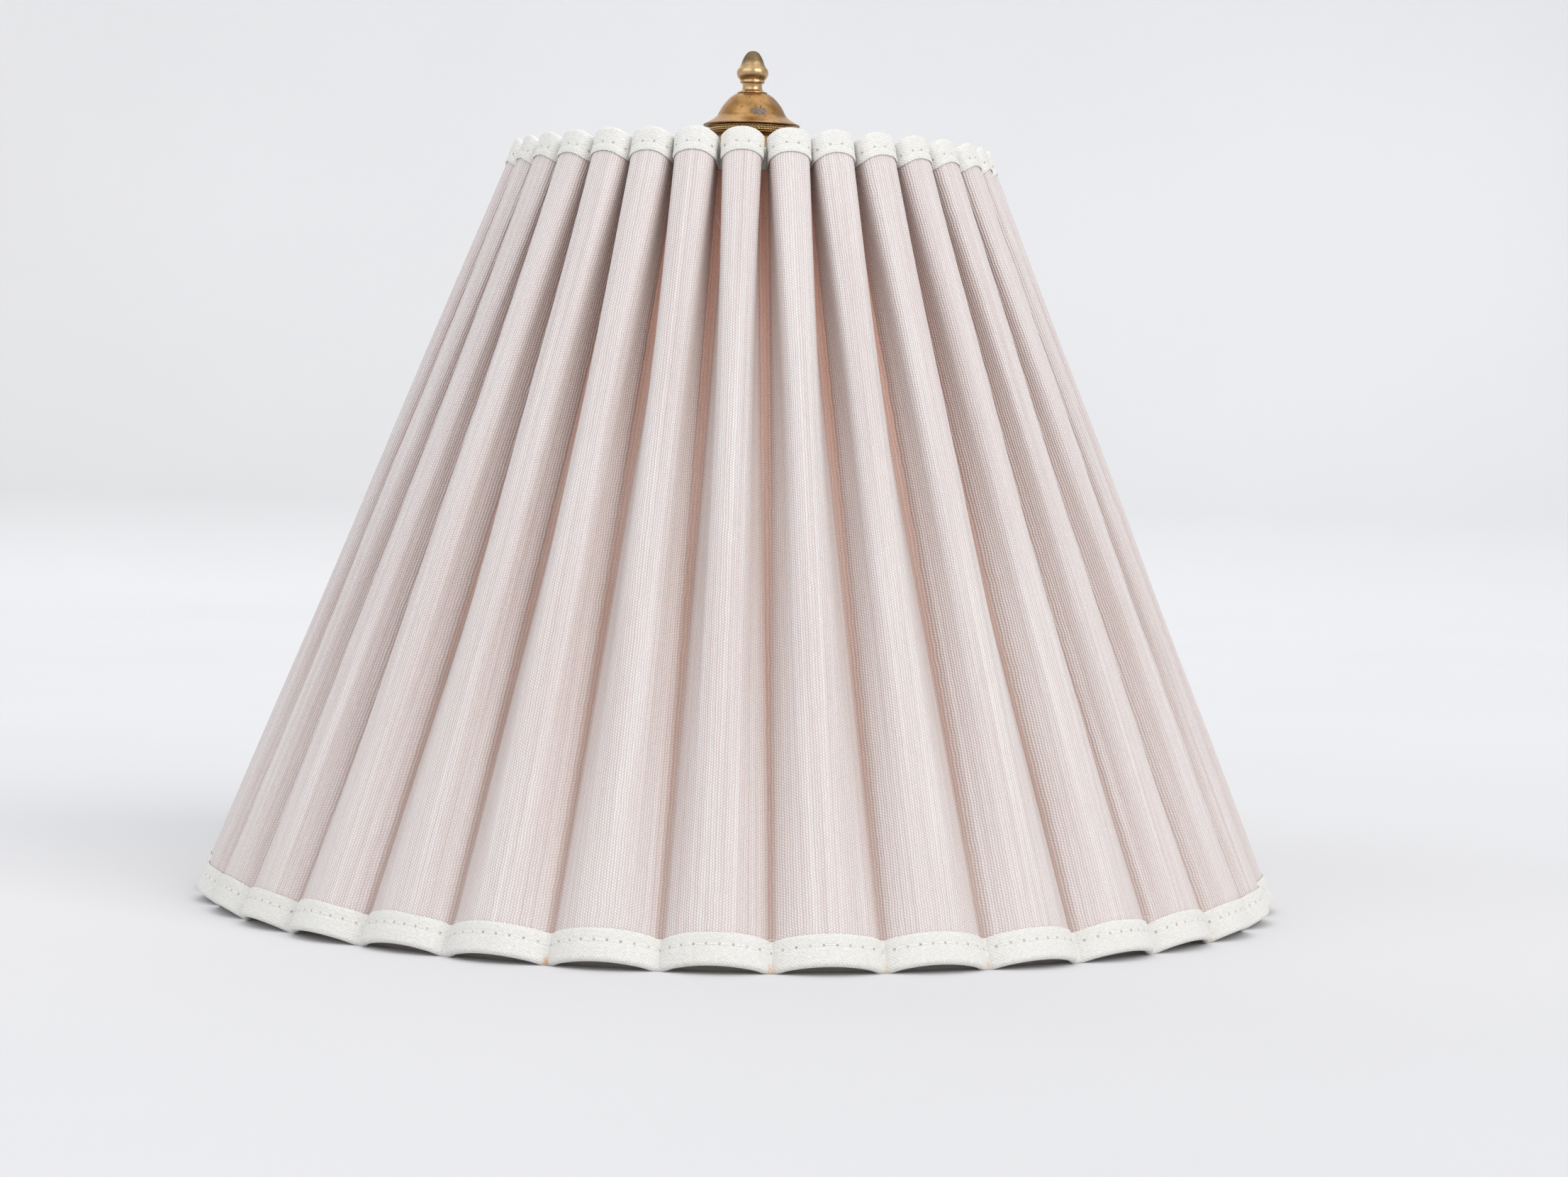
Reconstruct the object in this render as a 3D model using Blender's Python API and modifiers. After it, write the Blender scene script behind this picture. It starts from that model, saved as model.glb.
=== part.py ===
"""Fluted conical lamp shade: textile cover on a wire frame, with a brass cap and a finial that screws down.

The shade stands on its lower edge. Angles run from the front (-Y) towards +X.
"""
import math

import bpy
import numpy as np

MM = 0.001

# Overall sizes
BOTTOM_RADIUS = 193.5 * MM      # crest of a flute at the cloth's lower edge
TOP_RADIUS = 85.4 * MM          # crest of a flute at the cloth's upper edge
COVER_HEIGHT = 264.4 * MM       # between the two cloth edges, in a valley
FLUTES = 33

# Flutes: depth, how much higher a crest's edge stands than a valley's, and the outline's two exponents
TOP_DEPTH = 12.7 * MM
BOTTOM_DEPTH = 5.4 * MM
TOP_CREST_RISE = 6.0 * MM
BOTTOM_CREST_RISE = 3.4 * MM
TOP_OUTLINE = (6.0, 0.8)
BOTTOM_OUTLINE = (2.1, 1.0)
FLUTE_STEPS = (-1.0, -0.6, -0.2, 0.2, 0.6)   # shares of half the cloth's width from crest to valley

# Sheet goods
CLEARANCE = 0.3 * MM            # between pieces that touch
TEXTILE_THICKNESS = 0.8 * MM
LINER_THICKNESS = 0.6 * MM
BINDING_THICKNESS = 0.6 * MM
TOP_BINDING_WIDTH = 8.4 * MM    # seen outside, below the upper edge
BOTTOM_BINDING_WIDTH = 9.6 * MM
BINDING_TURN_IN = 7.6 * MM      # the same tape on the inner side

# Wire frame
RING_WIRE_RADIUS = 1.5 * MM
UPRIGHT_WIRE_RADIUS = 1.2 * MM
ARM_WIRE_RADIUS = 1.5 * MM
ARM_RING_GAP = 0.4 * MM             # more than the clearance, because the ring has flats
ARM_BUSH_GAP = 1.0 * MM
ARM_BEND_BEYOND_PLATE = 6.0 * MM    # where the arm starts to slope to the ring
RING_INSET = 4.5 * MM           # from the cloth's edge to the ring's centre, along a valley
ARMS = 3

# Fitter in the centre
PLATE_RADIUS = 16.0 * MM
PLATE_THICKNESS = 2.0 * MM
PLATE_UNDERSIDE_DROP = 1.0 * MM     # from the cloth's upper edge in a valley
BUSH_RADIUS = 6.2 * MM
BUSH_FLANGE_RADIUS = 10.0 * MM
BUSH_FLANGE_THICKNESS = 6.0 * MM
SHANK_RADIUS = 3.0 * MM

# Cap: a drum that stands on the plate, a beaded band on its lip, and the spun dome
DRUM_RADIUS = 13.0 * MM
DRUM_WALL = 1.2 * MM
DRUM_HEIGHT = 9.6 * MM
DRUM_LIP_THICKNESS = 0.7 * MM
LIP_BEYOND_BEADS = 0.35 * MM
BEAD_RADIUS = 0.95 * MM
BEAD_BAND_RADIUS = 14.6 * MM        # to the beads' centres
DOME_WALL = 0.7 * MM
DOME_RIM_RADIUS = 17.5 * MM
DOME_HEIGHT = 11.4 * MM             # from the beads' tops to the knob's seat
DOME_RIM_HEIGHT = 0.3 * MM          # the rim's upper edge, from the beads' tops
DOME_SHOULDER_RADIUS = 13.0 * MM
DOME_SHOULDER_HEIGHT = 2.1 * MM     # the shoulder, from the beads' tops
DOME_CROWN_OFFSET = 2.5 * MM        # from the axis to the centre of the crown's curve
DOME_FLARE_HEIGHT = 2.9 * MM
NECK_PLAY = 1.7 * MM                # between the drum's neck and the dome
NECK_ABOVE_LIP = 5.0 * MM

# Finial knob, above its seat on the dome
KNOB_FOOT_RADIUS = 6.0 * MM
KNOB_NECK_RADIUS = 3.6 * MM
KNOB_COLLAR_RADIUS = 4.4 * MM
KNOB_BALL_RADIUS = 5.7 * MM
KNOB_TIP_RADIUS = 4.5 * MM
KNOB_HEIGHT = 15.4 * MM
KNOB_BALL_HEIGHT = 7.7 * MM         # the ball's centre
KNOB_BALL_ROUNDING = 2.7 * MM
KNOB_TIP_LENGTH = 5.5 * MM
KNOB_COLLAR_TOP = 2.5 * MM          # the collar and the neck, below the ball's centre
KNOB_COLLAR_FOOT = 3.6 * MM
KNOB_NECK_TOP = 3.8 * MM
KNOB_NECK_FOOT = 1.6 * MM
KNOB_FOOT_THICKNESS = 0.5 * MM
KNOB_FLARE_HEIGHT = 0.7 * MM
SHANK_BELOW_PLATE = 6.5 * MM


def make_collection(name):
    collection = bpy.data.collections.new(name)
    bpy.context.scene.collection.children.link(collection)
    return collection


def make_material(name, colour, roughness, metallic=0.0):
    material = bpy.data.materials.new(name)
    material.use_nodes = True
    shader = material.node_tree.nodes["Principled BSDF"]
    shader.inputs["Base Color"].default_value = (*colour, 1.0)
    shader.inputs["Roughness"].default_value = roughness
    shader.inputs["Metallic"].default_value = metallic
    return material


def finish_object(obj, collection, material, name=None):
    """Name the piece, give it its material and put it in the shade's collection."""
    if name:
        obj.name = name
    obj.data.materials.append(material)
    for old in list(obj.users_collection):
        old.objects.unlink(obj)
    collection.objects.link(obj)
    return obj


def smooth(mesh, angle_deg):
    mesh.shade_smooth()
    mesh.set_sharp_from_angle(angle=math.radians(angle_deg))


# The fluted wall ------------------------------------------------------------------------------

def outline_share(across, outline):
    """How far a flute stands out, 0 in the valley to 1 on the crest, at a share of its half width."""
    power, softness = outline
    return (1.0 - np.abs(across) ** power) ** softness


def edge_point(across, angle, crest_radius, depth, valley_z, crest_rise, outline):
    out = outline_share(across, outline)
    radius = crest_radius - depth * (1.0 - out)
    z = valley_z + crest_rise * out
    return np.array([radius * math.sin(angle), -radius * math.cos(angle), z])


def across_at(step, crest_radius, depth, outline):
    """The share of a flute's half width that lies at a share of the cloth's own width."""
    half_width = math.pi * crest_radius / FLUTES
    across = np.linspace(0.0, 1.0, 400)
    out = outline_share(across, outline) * depth
    length = np.concatenate([[0.0], np.cumsum(np.hypot(np.diff(across * half_width), np.diff(out)))])
    return math.copysign(float(np.interp(abs(step) * length[-1], length, across)), step)


def wall_columns():
    """The cloth's lower and upper edge points, column by column round the shade; column 0 is a valley."""
    lower, upper = [], []
    for flute in range(FLUTES):
        for step in FLUTE_STEPS:
            for points, radius, depth, z, rise, outline in (
                (lower, BOTTOM_RADIUS, BOTTOM_DEPTH, LOWER_EDGE_Z, BOTTOM_CREST_RISE, BOTTOM_OUTLINE),
                (upper, TOP_RADIUS, TOP_DEPTH, UPPER_EDGE_Z, TOP_CREST_RISE, TOP_OUTLINE),
            ):
                across = across_at(step, radius, depth, outline)
                angle = 2.0 * math.pi * (flute + 0.5 + across / 2.0) / FLUTES
                points.append(edge_point(across, angle, radius, depth, z, rise, outline))
    return np.array(lower), np.array(upper)


LOWER_EDGE_Z = CLEARANCE + BINDING_THICKNESS
UPPER_EDGE_Z = LOWER_EDGE_Z + COVER_HEIGHT
LOWER, UPPER = wall_columns()
COLUMNS = len(LOWER)


def wall_point(column, from_edge, offset, edge):
    """A point at a distance from the lower or upper edge, along the cloth, and offset outwards from it."""
    column %= COLUMNS
    before, after = (column - 1) % COLUMNS, (column + 1) % COLUMNS
    run = UPPER[column] - LOWER[column]
    length = float(np.linalg.norm(run))
    share = from_edge / length if edge == "lower" else 1.0 - from_edge / length

    def on_cloth(index):
        return LOWER[index] + (UPPER[index] - LOWER[index]) * share

    here = on_cloth(column)
    normals = []
    for first, second in ((before, column), (column, after)):
        normal = np.cross(on_cloth(second) - on_cloth(first), run)
        normals.append(normal / np.linalg.norm(normal))
    outwards = normals[0] + normals[1]
    outwards /= np.linalg.norm(outwards)
    spread = max(float(outwards @ normals[0]), 0.75)    # keeps the wall's thickness in a fold
    return here + outwards * (offset / spread)


def loft_round(name, section_at, collection, material):
    """Join closed sections, one for each column, into one ring; every quad is split the same way."""
    mesh = bpy.data.meshes.new(name)
    sections = [section_at(column) for column in range(COLUMNS)]
    count = len(sections[0])
    vertices = [tuple(point) for section in sections for point in section]
    heights = [point[2] for point in sections[0]]
    faces = []
    for column in range(COLUMNS):
        here, there = column * count, (column + 1) % COLUMNS * count
        for index in range(count):
            following = (index + 1) % count
            a, b = here + index, there + index
            c, d = there + following, here + following
            if heights[following] > heights[index]:
                faces += [(a, b, c), (a, c, d)]
            else:
                faces += [(a, b, d), (b, c, d)]
    mesh.from_pydata(vertices, [], faces)
    mesh.update()
    smooth(mesh, 40)
    return finish_object(bpy.data.objects.new(name, mesh), collection, material)


def sheet_section(outer_offset, thickness):
    """A sheet's section from edge to edge, with rows where the two bindings end."""
    rows = ((0.0, "lower"), (BOTTOM_BINDING_WIDTH, "lower"), (TOP_BINDING_WIDTH, "upper"), (0.0, "upper"))

    def section(column):
        outside = [wall_point(column, distance, outer_offset, edge) for distance, edge in rows]
        inside = [wall_point(column, distance, outer_offset - thickness, edge) for distance, edge in rows]
        return outside + inside[::-1]

    return section


WALL = TEXTILE_THICKNESS + CLEARANCE + LINER_THICKNESS
BINDING_INNER = -WALL - CLEARANCE - BINDING_THICKNESS      # the binding's inner face, from the cloth's face


def binding_section(edge, width):
    """A tape folded over an edge: its outer leg, its fold past the edge and its inner leg."""
    outer, gap = CLEARANCE + BINDING_THICKNESS, CLEARANCE
    inner_gap = -WALL - CLEARANCE

    def section(column):
        loop = [
            wall_point(column, width, outer, edge), wall_point(column, -outer, outer, edge),
            wall_point(column, -outer, BINDING_INNER, edge),
            wall_point(column, BINDING_TURN_IN, BINDING_INNER, edge),
            wall_point(column, BINDING_TURN_IN, inner_gap, edge), wall_point(column, -gap, inner_gap, edge),
            wall_point(column, -gap, gap, edge), wall_point(column, width, gap, edge),
        ]
        return loop if edge == "upper" else loop[::-1]

    return section


# Turned, bent and ring pieces -----------------------------------------------------------------

def turn(name, profile, collection, material, steps=32, closed=True):
    """Turn a profile of (radius, z) points about Z; it runs down the outer side."""
    mesh = bpy.data.meshes.new(name)
    edges = [(i, i + 1) for i in range(len(profile) - 1)]
    if closed:
        edges.append((len(profile) - 1, 0))
    mesh.from_pydata([(radius, 0.0, z) for radius, z in profile], edges, [])
    obj = bpy.data.objects.new(name, mesh)
    screw = obj.modifiers.new("turn", "SCREW")
    screw.steps = screw.render_steps = steps
    screw.use_merge_vertices = True
    screw.merge_threshold = 0.00001
    return finish_object(obj, collection, material)


def arc(centre_radius, centre_z, radius, start_deg, end_deg, count):
    """Points on a circle arc in the profile's plane, angles from the outward direction."""
    angles = np.radians(np.linspace(start_deg, end_deg, count))
    return [(centre_radius + radius * math.cos(a), centre_z + radius * math.sin(a)) for a in angles]


def make_wire(name, points, radius, collection, material):
    curve = bpy.data.curves.new(name, "CURVE")
    curve.dimensions = "3D"
    curve.bevel_depth = radius
    curve.bevel_resolution = 2
    curve.use_fill_caps = True
    spline = curve.splines.new("POLY")
    spline.points.add(len(points) - 1)
    for spot, point in zip(spline.points, points):
        spot.co = (*point, 1.0)
    return finish_object(bpy.data.objects.new(name, curve), collection, material)


def ring_place(edge):
    """Radius and height of a ring's centre line, just inside the binding in the valleys."""
    spot = wall_point(0, RING_INSET, BINDING_INNER - CLEARANCE - RING_WIRE_RADIUS, edge)
    return math.hypot(spot[0], spot[1]), spot[2]


def make_ring(name, edge, collection, material):
    radius, z = ring_place(edge)
    bpy.ops.mesh.primitive_torus_add(
        major_radius=radius, minor_radius=RING_WIRE_RADIUS, major_segments=2 * FLUTES, minor_segments=6,
        location=(0.0, 0.0, z))
    ring = bpy.context.object
    ring.rotation_euler.z = -math.pi / 2.0      # a corner of the ring faces each valley
    smooth(ring.data, 60)
    return finish_object(ring, collection, material, name)


def around(radius, z, angle):
    return (radius * math.sin(angle), -radius * math.cos(angle), z)


def arm_angle(index):
    """Arms and uprights stand in valleys, spread evenly: valleys 5, 16 and 27 of 33."""
    valley = int((index + 0.5) * FLUTES / ARMS)
    return 2.0 * math.pi * valley / FLUTES


def make_uprights(collection, material):
    low_radius, low_z = ring_place("lower")
    high_radius, high_z = ring_place("upper")
    run = np.array([high_radius - low_radius, high_z - low_z])
    run /= np.linalg.norm(run)
    trim = RING_WIRE_RADIUS + CLEARANCE + UPRIGHT_WIRE_RADIUS * abs(run[0])
    start, end = np.array([low_radius, low_z]) + run * trim, np.array([high_radius, high_z]) - run * trim
    for index in range(ARMS):
        angle = arm_angle(index)
        points = [around(*start, angle), around(*end, angle)]
        make_wire(f"upright_{index + 1}", points, UPRIGHT_WIRE_RADIUS, collection, material)


def make_arms(collection, material):
    ring_radius, ring_z = ring_place("upper")
    arm_z = PLATE_Z - CLEARANCE - ARM_WIRE_RADIUS
    outer = ring_radius - RING_WIRE_RADIUS - CLEARANCE - ARM_RING_GAP
    inner = BUSH_RADIUS + CLEARANCE + ARM_BUSH_GAP
    for index in range(ARMS):
        angle = arm_angle(index)
        points = [
            around(outer, ring_z, angle),
            around(PLATE_RADIUS + ARM_BEND_BEYOND_PLATE, arm_z, angle),
            around(inner, arm_z, angle),
        ]
        make_wire(f"spider_arm_{index + 1}", points, ARM_WIRE_RADIUS, collection, material)


PLATE_Z = UPPER_EDGE_Z - PLATE_UNDERSIDE_DROP
PLATE_TOP = PLATE_Z + PLATE_THICKNESS
BUSH_SEAT_Z = PLATE_Z - 2.0 * ARM_WIRE_RADIUS - 2.0 * CLEARANCE - BUSH_FLANGE_THICKNESS
BORE_RADIUS = SHANK_RADIUS + CLEARANCE
DRUM_BASE = PLATE_TOP + CLEARANCE
LIP_TOP = DRUM_BASE + DRUM_HEIGHT + DRUM_LIP_THICKNESS
BEAD_Z = LIP_TOP + CLEARANCE + BEAD_RADIUS
DOME_BASE = BEAD_Z + BEAD_RADIUS + CLEARANCE
SEAT_Z = DOME_BASE + DOME_HEIGHT


def make_fitter(collection, steel, brass):
    hole = BUSH_RADIUS + CLEARANCE
    turn("hub_plate", [(PLATE_RADIUS, PLATE_TOP), (PLATE_RADIUS, PLATE_Z), (hole, PLATE_Z), (hole, PLATE_TOP)],
         collection, steel)
    flange_top = BUSH_SEAT_Z + BUSH_FLANGE_THICKNESS
    turn("hub_bush", [
        (BUSH_RADIUS, PLATE_TOP), (BUSH_RADIUS, flange_top), (BUSH_FLANGE_RADIUS, flange_top),
        (BUSH_FLANGE_RADIUS, BUSH_SEAT_Z), (BORE_RADIUS, BUSH_SEAT_Z), (BORE_RADIUS, PLATE_TOP),
    ], collection, brass, steps=24)


def make_cap(collection, brass):
    lip_under = DRUM_BASE + DRUM_HEIGHT
    lip_radius = BEAD_BAND_RADIUS + BEAD_RADIUS + LIP_BEYOND_BEADS
    neck_radius = DOME_SHOULDER_RADIUS - DOME_WALL - NECK_PLAY
    neck_bore = neck_radius - DRUM_WALL
    turn("cap_drum", [
        (neck_radius, LIP_TOP + NECK_ABOVE_LIP), (neck_radius, LIP_TOP), (lip_radius, LIP_TOP),
        (lip_radius, lip_under), (DRUM_RADIUS, lip_under), (DRUM_RADIUS, DRUM_BASE),
        (DRUM_RADIUS - DRUM_WALL, DRUM_BASE), (DRUM_RADIUS - DRUM_WALL, lip_under - DRUM_WALL),
        (neck_bore, lip_under), (neck_bore, LIP_TOP + NECK_ABOVE_LIP),
    ], collection, brass)
    bpy.ops.mesh.primitive_torus_add(
        major_radius=BEAD_BAND_RADIUS, minor_radius=BEAD_RADIUS, major_segments=48, minor_segments=8,
        location=(0.0, 0.0, BEAD_Z))
    band = bpy.context.object
    smooth(band.data, 60)
    finish_object(band, collection, brass, "bead_band")
    turn("dome_cap", dome_profile(0.0) + dome_profile(DOME_WALL)[::-1], collection, brass)


def dome_profile(inset):
    """The dome from its bore to its rim: a flat seat, a crown and a flared lip, moved in by an inset."""
    shoulder_z = DOME_BASE + DOME_SHOULDER_HEIGHT
    reach = DOME_SHOULDER_RADIUS - inset - DOME_CROWN_OFFSET
    rise = DOME_HEIGHT - DOME_SHOULDER_HEIGHT - inset
    seat_edge = math.asin((KNOB_FOOT_RADIUS - DOME_CROWN_OFFSET) / reach)
    angles = np.linspace(seat_edge + math.radians(5.0), math.radians(82.0), 7)
    crown = [(DOME_CROWN_OFFSET + reach * math.sin(a), shoulder_z + rise * math.cos(a)) for a in angles]
    rim_z = DOME_BASE + DOME_RIM_HEIGHT - inset
    start = crown[-1][0]
    flare = [(start + (DOME_RIM_RADIUS - 0.4 * inset - start) * share,
              rim_z + DOME_FLARE_HEIGHT * (1.0 - share ** 0.7)) for share in (0.12, 0.35, 0.65, 1.0)]
    return [(BORE_RADIUS, SEAT_Z - inset), (KNOB_FOOT_RADIUS - inset, SEAT_Z - inset)] + crown + flare


def make_knob(collection, brass):
    """A foot, a waist, a collar, a ball and a bullet tip, with the screw shank under them."""
    base = SEAT_Z + CLEARANCE
    tip = base + KNOB_HEIGHT
    ball_z = base + KNOB_BALL_HEIGHT
    shank_end = PLATE_Z - SHANK_BELOW_PLATE
    bullet = [(KNOB_TIP_RADIUS * math.sin(a), tip - KNOB_TIP_LENGTH * (1.0 - math.cos(a)))
              for a in np.radians((0.0, 25.0, 45.0, 65.0, 85.0))]
    ball = arc(KNOB_BALL_RADIUS - KNOB_BALL_ROUNDING, ball_z, KNOB_BALL_ROUNDING, 50.0, -55.0, 6)
    turn("finial_knob", bullet + ball + [
        (KNOB_COLLAR_RADIUS, ball_z - KNOB_COLLAR_TOP), (KNOB_COLLAR_RADIUS, ball_z - KNOB_COLLAR_FOOT),
        (KNOB_NECK_RADIUS, ball_z - KNOB_NECK_TOP), (KNOB_NECK_RADIUS, base + KNOB_NECK_FOOT),
        (KNOB_COLLAR_RADIUS, base + KNOB_FLARE_HEIGHT), (KNOB_FOOT_RADIUS, base + KNOB_FOOT_THICKNESS),
        (KNOB_FOOT_RADIUS, base), (SHANK_RADIUS, base), (SHANK_RADIUS, shank_end), (0.0, shank_end),
    ], collection, brass, steps=24, closed=False)


def main():
    for obj in list(bpy.data.objects):
        bpy.data.objects.remove(obj, do_unlink=True)
    parts = make_collection("lamp_shade")

    textile = make_material("textile", (0.80, 0.68, 0.65), 0.85)
    backing = make_material("backing", (0.86, 0.82, 0.74), 0.9)
    tape = make_material("tape", (0.87, 0.86, 0.81), 0.85)
    wire = make_material("wire", (0.55, 0.54, 0.52), 0.45, 1.0)
    brass = make_material("brass", (0.62, 0.40, 0.17), 0.32, 1.0)

    loft_round("cover", sheet_section(0.0, TEXTILE_THICKNESS), parts, textile)
    loft_round("liner", sheet_section(-TEXTILE_THICKNESS - CLEARANCE, LINER_THICKNESS), parts, backing)
    loft_round("top_binding", binding_section("upper", TOP_BINDING_WIDTH), parts, tape)
    loft_round("bottom_binding", binding_section("lower", BOTTOM_BINDING_WIDTH), parts, tape)
    make_ring("top_ring", "upper", parts, wire)
    make_ring("bottom_ring", "lower", parts, wire)
    make_uprights(parts, wire)
    make_arms(parts, wire)
    make_fitter(parts, wire, brass)
    make_cap(parts, brass)
    make_knob(parts, brass)


main()
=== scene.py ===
"""The looks of a fluted lamp shade: cloth, lining and tapes on a wire frame, with a brass cap and a finial.

Lengths are in metres. The shade stands on the floor, +Z up, and its front faces -Y, where two flutes meet.
"""
import math

import bpy
import numpy as np
from bpy.props import FloatProperty, FloatVectorProperty, IntProperty, PointerProperty
from mathutils import Matrix, Vector


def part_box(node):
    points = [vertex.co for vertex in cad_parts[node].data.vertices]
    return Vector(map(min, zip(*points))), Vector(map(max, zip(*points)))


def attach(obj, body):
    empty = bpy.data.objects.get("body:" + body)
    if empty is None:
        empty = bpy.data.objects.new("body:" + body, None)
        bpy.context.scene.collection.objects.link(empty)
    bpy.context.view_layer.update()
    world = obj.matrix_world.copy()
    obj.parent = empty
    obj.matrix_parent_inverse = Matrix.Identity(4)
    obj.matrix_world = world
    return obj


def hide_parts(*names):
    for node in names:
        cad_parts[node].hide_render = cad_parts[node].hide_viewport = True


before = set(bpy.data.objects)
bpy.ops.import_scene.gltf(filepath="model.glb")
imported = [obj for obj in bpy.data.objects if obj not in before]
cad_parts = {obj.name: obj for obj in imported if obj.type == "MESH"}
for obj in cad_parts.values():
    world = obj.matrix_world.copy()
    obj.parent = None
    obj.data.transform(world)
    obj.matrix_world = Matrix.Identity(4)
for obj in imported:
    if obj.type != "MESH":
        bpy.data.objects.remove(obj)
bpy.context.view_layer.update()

bl_info = {
    "name": "Fluted Lamp Shade",
    "version": (1, 0, 0),
    "blender": (4, 5, 0),
    "location": "3D View > Sidebar > Lamp Shade",
    "description": "Models a fluted textile lamp shade with its wire frame, brass cap and finial",
    "category": "Object",
}

MM = 0.001
COVER_LOW, COVER_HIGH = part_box("cover")
SHADE, CAP, FINIAL = "shade", "cap", "finial"
ARM_VALLEYS = (5, 16, 27)           # the valleys that hold the uprights and the arms
SEED = 33

# A flute's outline in plan, from its crest to its valley: (distance along the cloth, slope in degrees)
TOP_SLOPES = (
    (0.0, 0.0), (3.8 * MM, 6.0), (9.4 * MM, 100.5), (16.2 * MM, 100.5), (17.9 * MM, 6.0), (18.3 * MM, 5.5))
BOTTOM_SLOPES = ((0.0, 0.0), (13.0 * MM, 20.0), (17.6 * MM, 42.0), (18.5 * MM, 9.0), (19.0 * MM, 5.5))
FLANK_NIP = 1.5 * MM                # how far a flute narrows between the edges
CREASE_REACH = 1.7 * MM             # how far the darker crease line, unfaded dye with painted shade, runs from the middle of a valley
TOP_ARCH = 0.42                     # share of the top edge's rise that falls away from a crest's middle

# Layers, as offsets outwards from the cloth's face
CLOTH_THICKNESS = 0.8 * MM
LINING_GAP = 0.3 * MM
LINING_THICKNESS = 0.6 * MM
TAPE_THICKNESS = 0.5 * MM
TAPE_GAP = 0.12 * MM
CLOTH_INSET = 0.3 * MM              # from the tape's fold to the cloth's edge
RIPPLE = 0.25 * MM                  # how far the cloth swells and hollows along a flute
SOLDER_LAP = 0.16                   # angle from an arm to where a ring's ends meet

# The floor, which curves up into a round backdrop
FLOOR_Z = -0.0002
FLOOR_RADIUS = 3.0
SWEEP = 0.8
BACKDROP_HEIGHT = 1.05


def length_setting(name, description, default):
    """A setting that is a length in metres."""
    return FloatProperty(name=name, description=description, default=default, unit="LENGTH")


def colour_setting(name, description, default):
    """A setting that is a colour."""
    return FloatVectorProperty(name=name, description=description, default=default, subtype="COLOR")


class ClothSettings(bpy.types.PropertyGroup):
    flutes: IntProperty(name="Flutes", description="Flutes round the shade", default=33, min=8)
    bottom_radius: length_setting("Bottom radius", "To a crest at the cloth's lower edge", 0.1935)
    top_radius: length_setting("Top radius", "To a crest at the cloth's upper edge", 0.0854)
    bottom_depth: length_setting("Bottom depth", "Depth of a flute at the lower edge", 0.0054)
    top_depth: length_setting("Top depth", "Depth of a flute at the upper edge", 0.0127)
    bottom_rise: length_setting(
        "Bottom rise", "How much higher a crest's lower edge stands than a valley's", 0.0034)
    top_rise: length_setting(
        "Top rise", "How much higher a crest's upper edge stands than a valley's", 0.0060)
    developed: length_setting("Cloth in a flute", "Width of the flat cloth that one flute takes", 0.03813)
    ribs: IntProperty(name="Ribs", description="Raised threads across one flute", default=41)
    knot_pitch: length_setting("Knot pitch", "Distance between white knots along a rib", 0.00094)
    unevenness: length_setting("Unevenness", "How far flutes stray from their even places", 0.00035)
    thread_colour: colour_setting("Thread", "Raised off-white threads", (0.965, 0.945, 0.94))
    ground_colour: colour_setting("Ground", "Pink ground between the threads", (0.66, 0.50, 0.465))
    # Fold colour: unfaded dye with painted shade, deep in the folds
    fold_dye_and_shade_colour: colour_setting("Fold", "Unfaded colour deep in the folds", (0.37, 0.195, 0.145))
    # Inmost fold colour: a painted glow, standing for light passing through and bouncing between the flutes
    # deep at the top
    inmost_glow_colour: colour_setting(
        "Inmost fold", "Warm colour deep between the flutes at the top", (0.95, 0.50, 0.36))
    lining_colour: colour_setting("Lining", "Cream lining inside", (0.80, 0.74, 0.62))


class TapeSettings(bpy.types.PropertyGroup):
    top_width: length_setting("Top tape", "Width seen outside at the upper edge", 0.0084)
    bottom_width: length_setting("Bottom tape", "Width seen outside at the lower edge", 0.0096)
    turn_in: length_setting("Turn-in", "Width on the inner side", 0.0076)
    top_seam: length_setting("Top seam", "From the upper edge to its stitches", 0.0052)
    bottom_seam: length_setting("Bottom seam", "From the lower edge to its stitches", 0.0058)
    stitches: IntProperty(name="Stitches", description="Stitches round one tape", default=300)
    colour: colour_setting("Tape", "Ivory cotton tape", (0.94, 0.925, 0.885))
    stain_colour: colour_setting("Stain", "Old glue at the tape's edge", (0.66, 0.36, 0.16))


class FrameSettings(bpy.types.PropertyGroup):
    ring_wire: length_setting("Ring wire", "Radius of the rings' wire", 0.0015)
    upright_wire: length_setting("Upright wire", "Radius of the uprights' wire", 0.0012)
    steel_colour: colour_setting("Steel", "Dull drawn steel", (0.42, 0.41, 0.39))
    rust_colour: colour_setting("Rust", "Rust in spots", (0.20, 0.075, 0.028))


class BrassSettings(bpy.types.PropertyGroup):
    beads: IntProperty(name="Beads", description="Beads round the cap", default=80)
    brass_colour: colour_setting("Brass", "Gilded brass", (0.42, 0.205, 0.052))
    rose_colour: colour_setting(
        "Worn gilding", "Paler, pinker brass where it is rubbed", (0.53, 0.31, 0.13))
    patina_colour: colour_setting("Patina", "Dark patina in the hollows", (0.105, 0.062, 0.03))


class StageSettings(bpy.types.PropertyGroup):
    floor_colour: colour_setting("Floor", "Pale floor and backdrop", (0.755, 0.755, 0.768))
    key_strength: FloatProperty(
        name="Key light", description="Soft light from the right front", default=1.44)
    fill_strength: FloatProperty(
        name="Fill light", description="Soft light from the left front", default=1.12)
    top_strength: FloatProperty(name="Top light", description="Soft light from above", default=0.56)
    back_strength: FloatProperty(name="Back light", description="Soft light from behind", default=0.35)
    sky: FloatProperty(name="Sky", description="Strength of the even light all round", default=0.56)


# Objects and edit-mode helpers ----------------------------------------------------------------

def finish_piece(piece, name, material, body, slot, *nodes):
    """Name a finished piece, give it its finish and its body, and let it stand for its frame nodes."""
    piece.name = name
    piece.data.name = name
    piece.data.materials.clear()
    piece.data.materials.append(material)
    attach(piece, body)
    if nodes:
        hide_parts(*nodes)
    return piece


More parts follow.
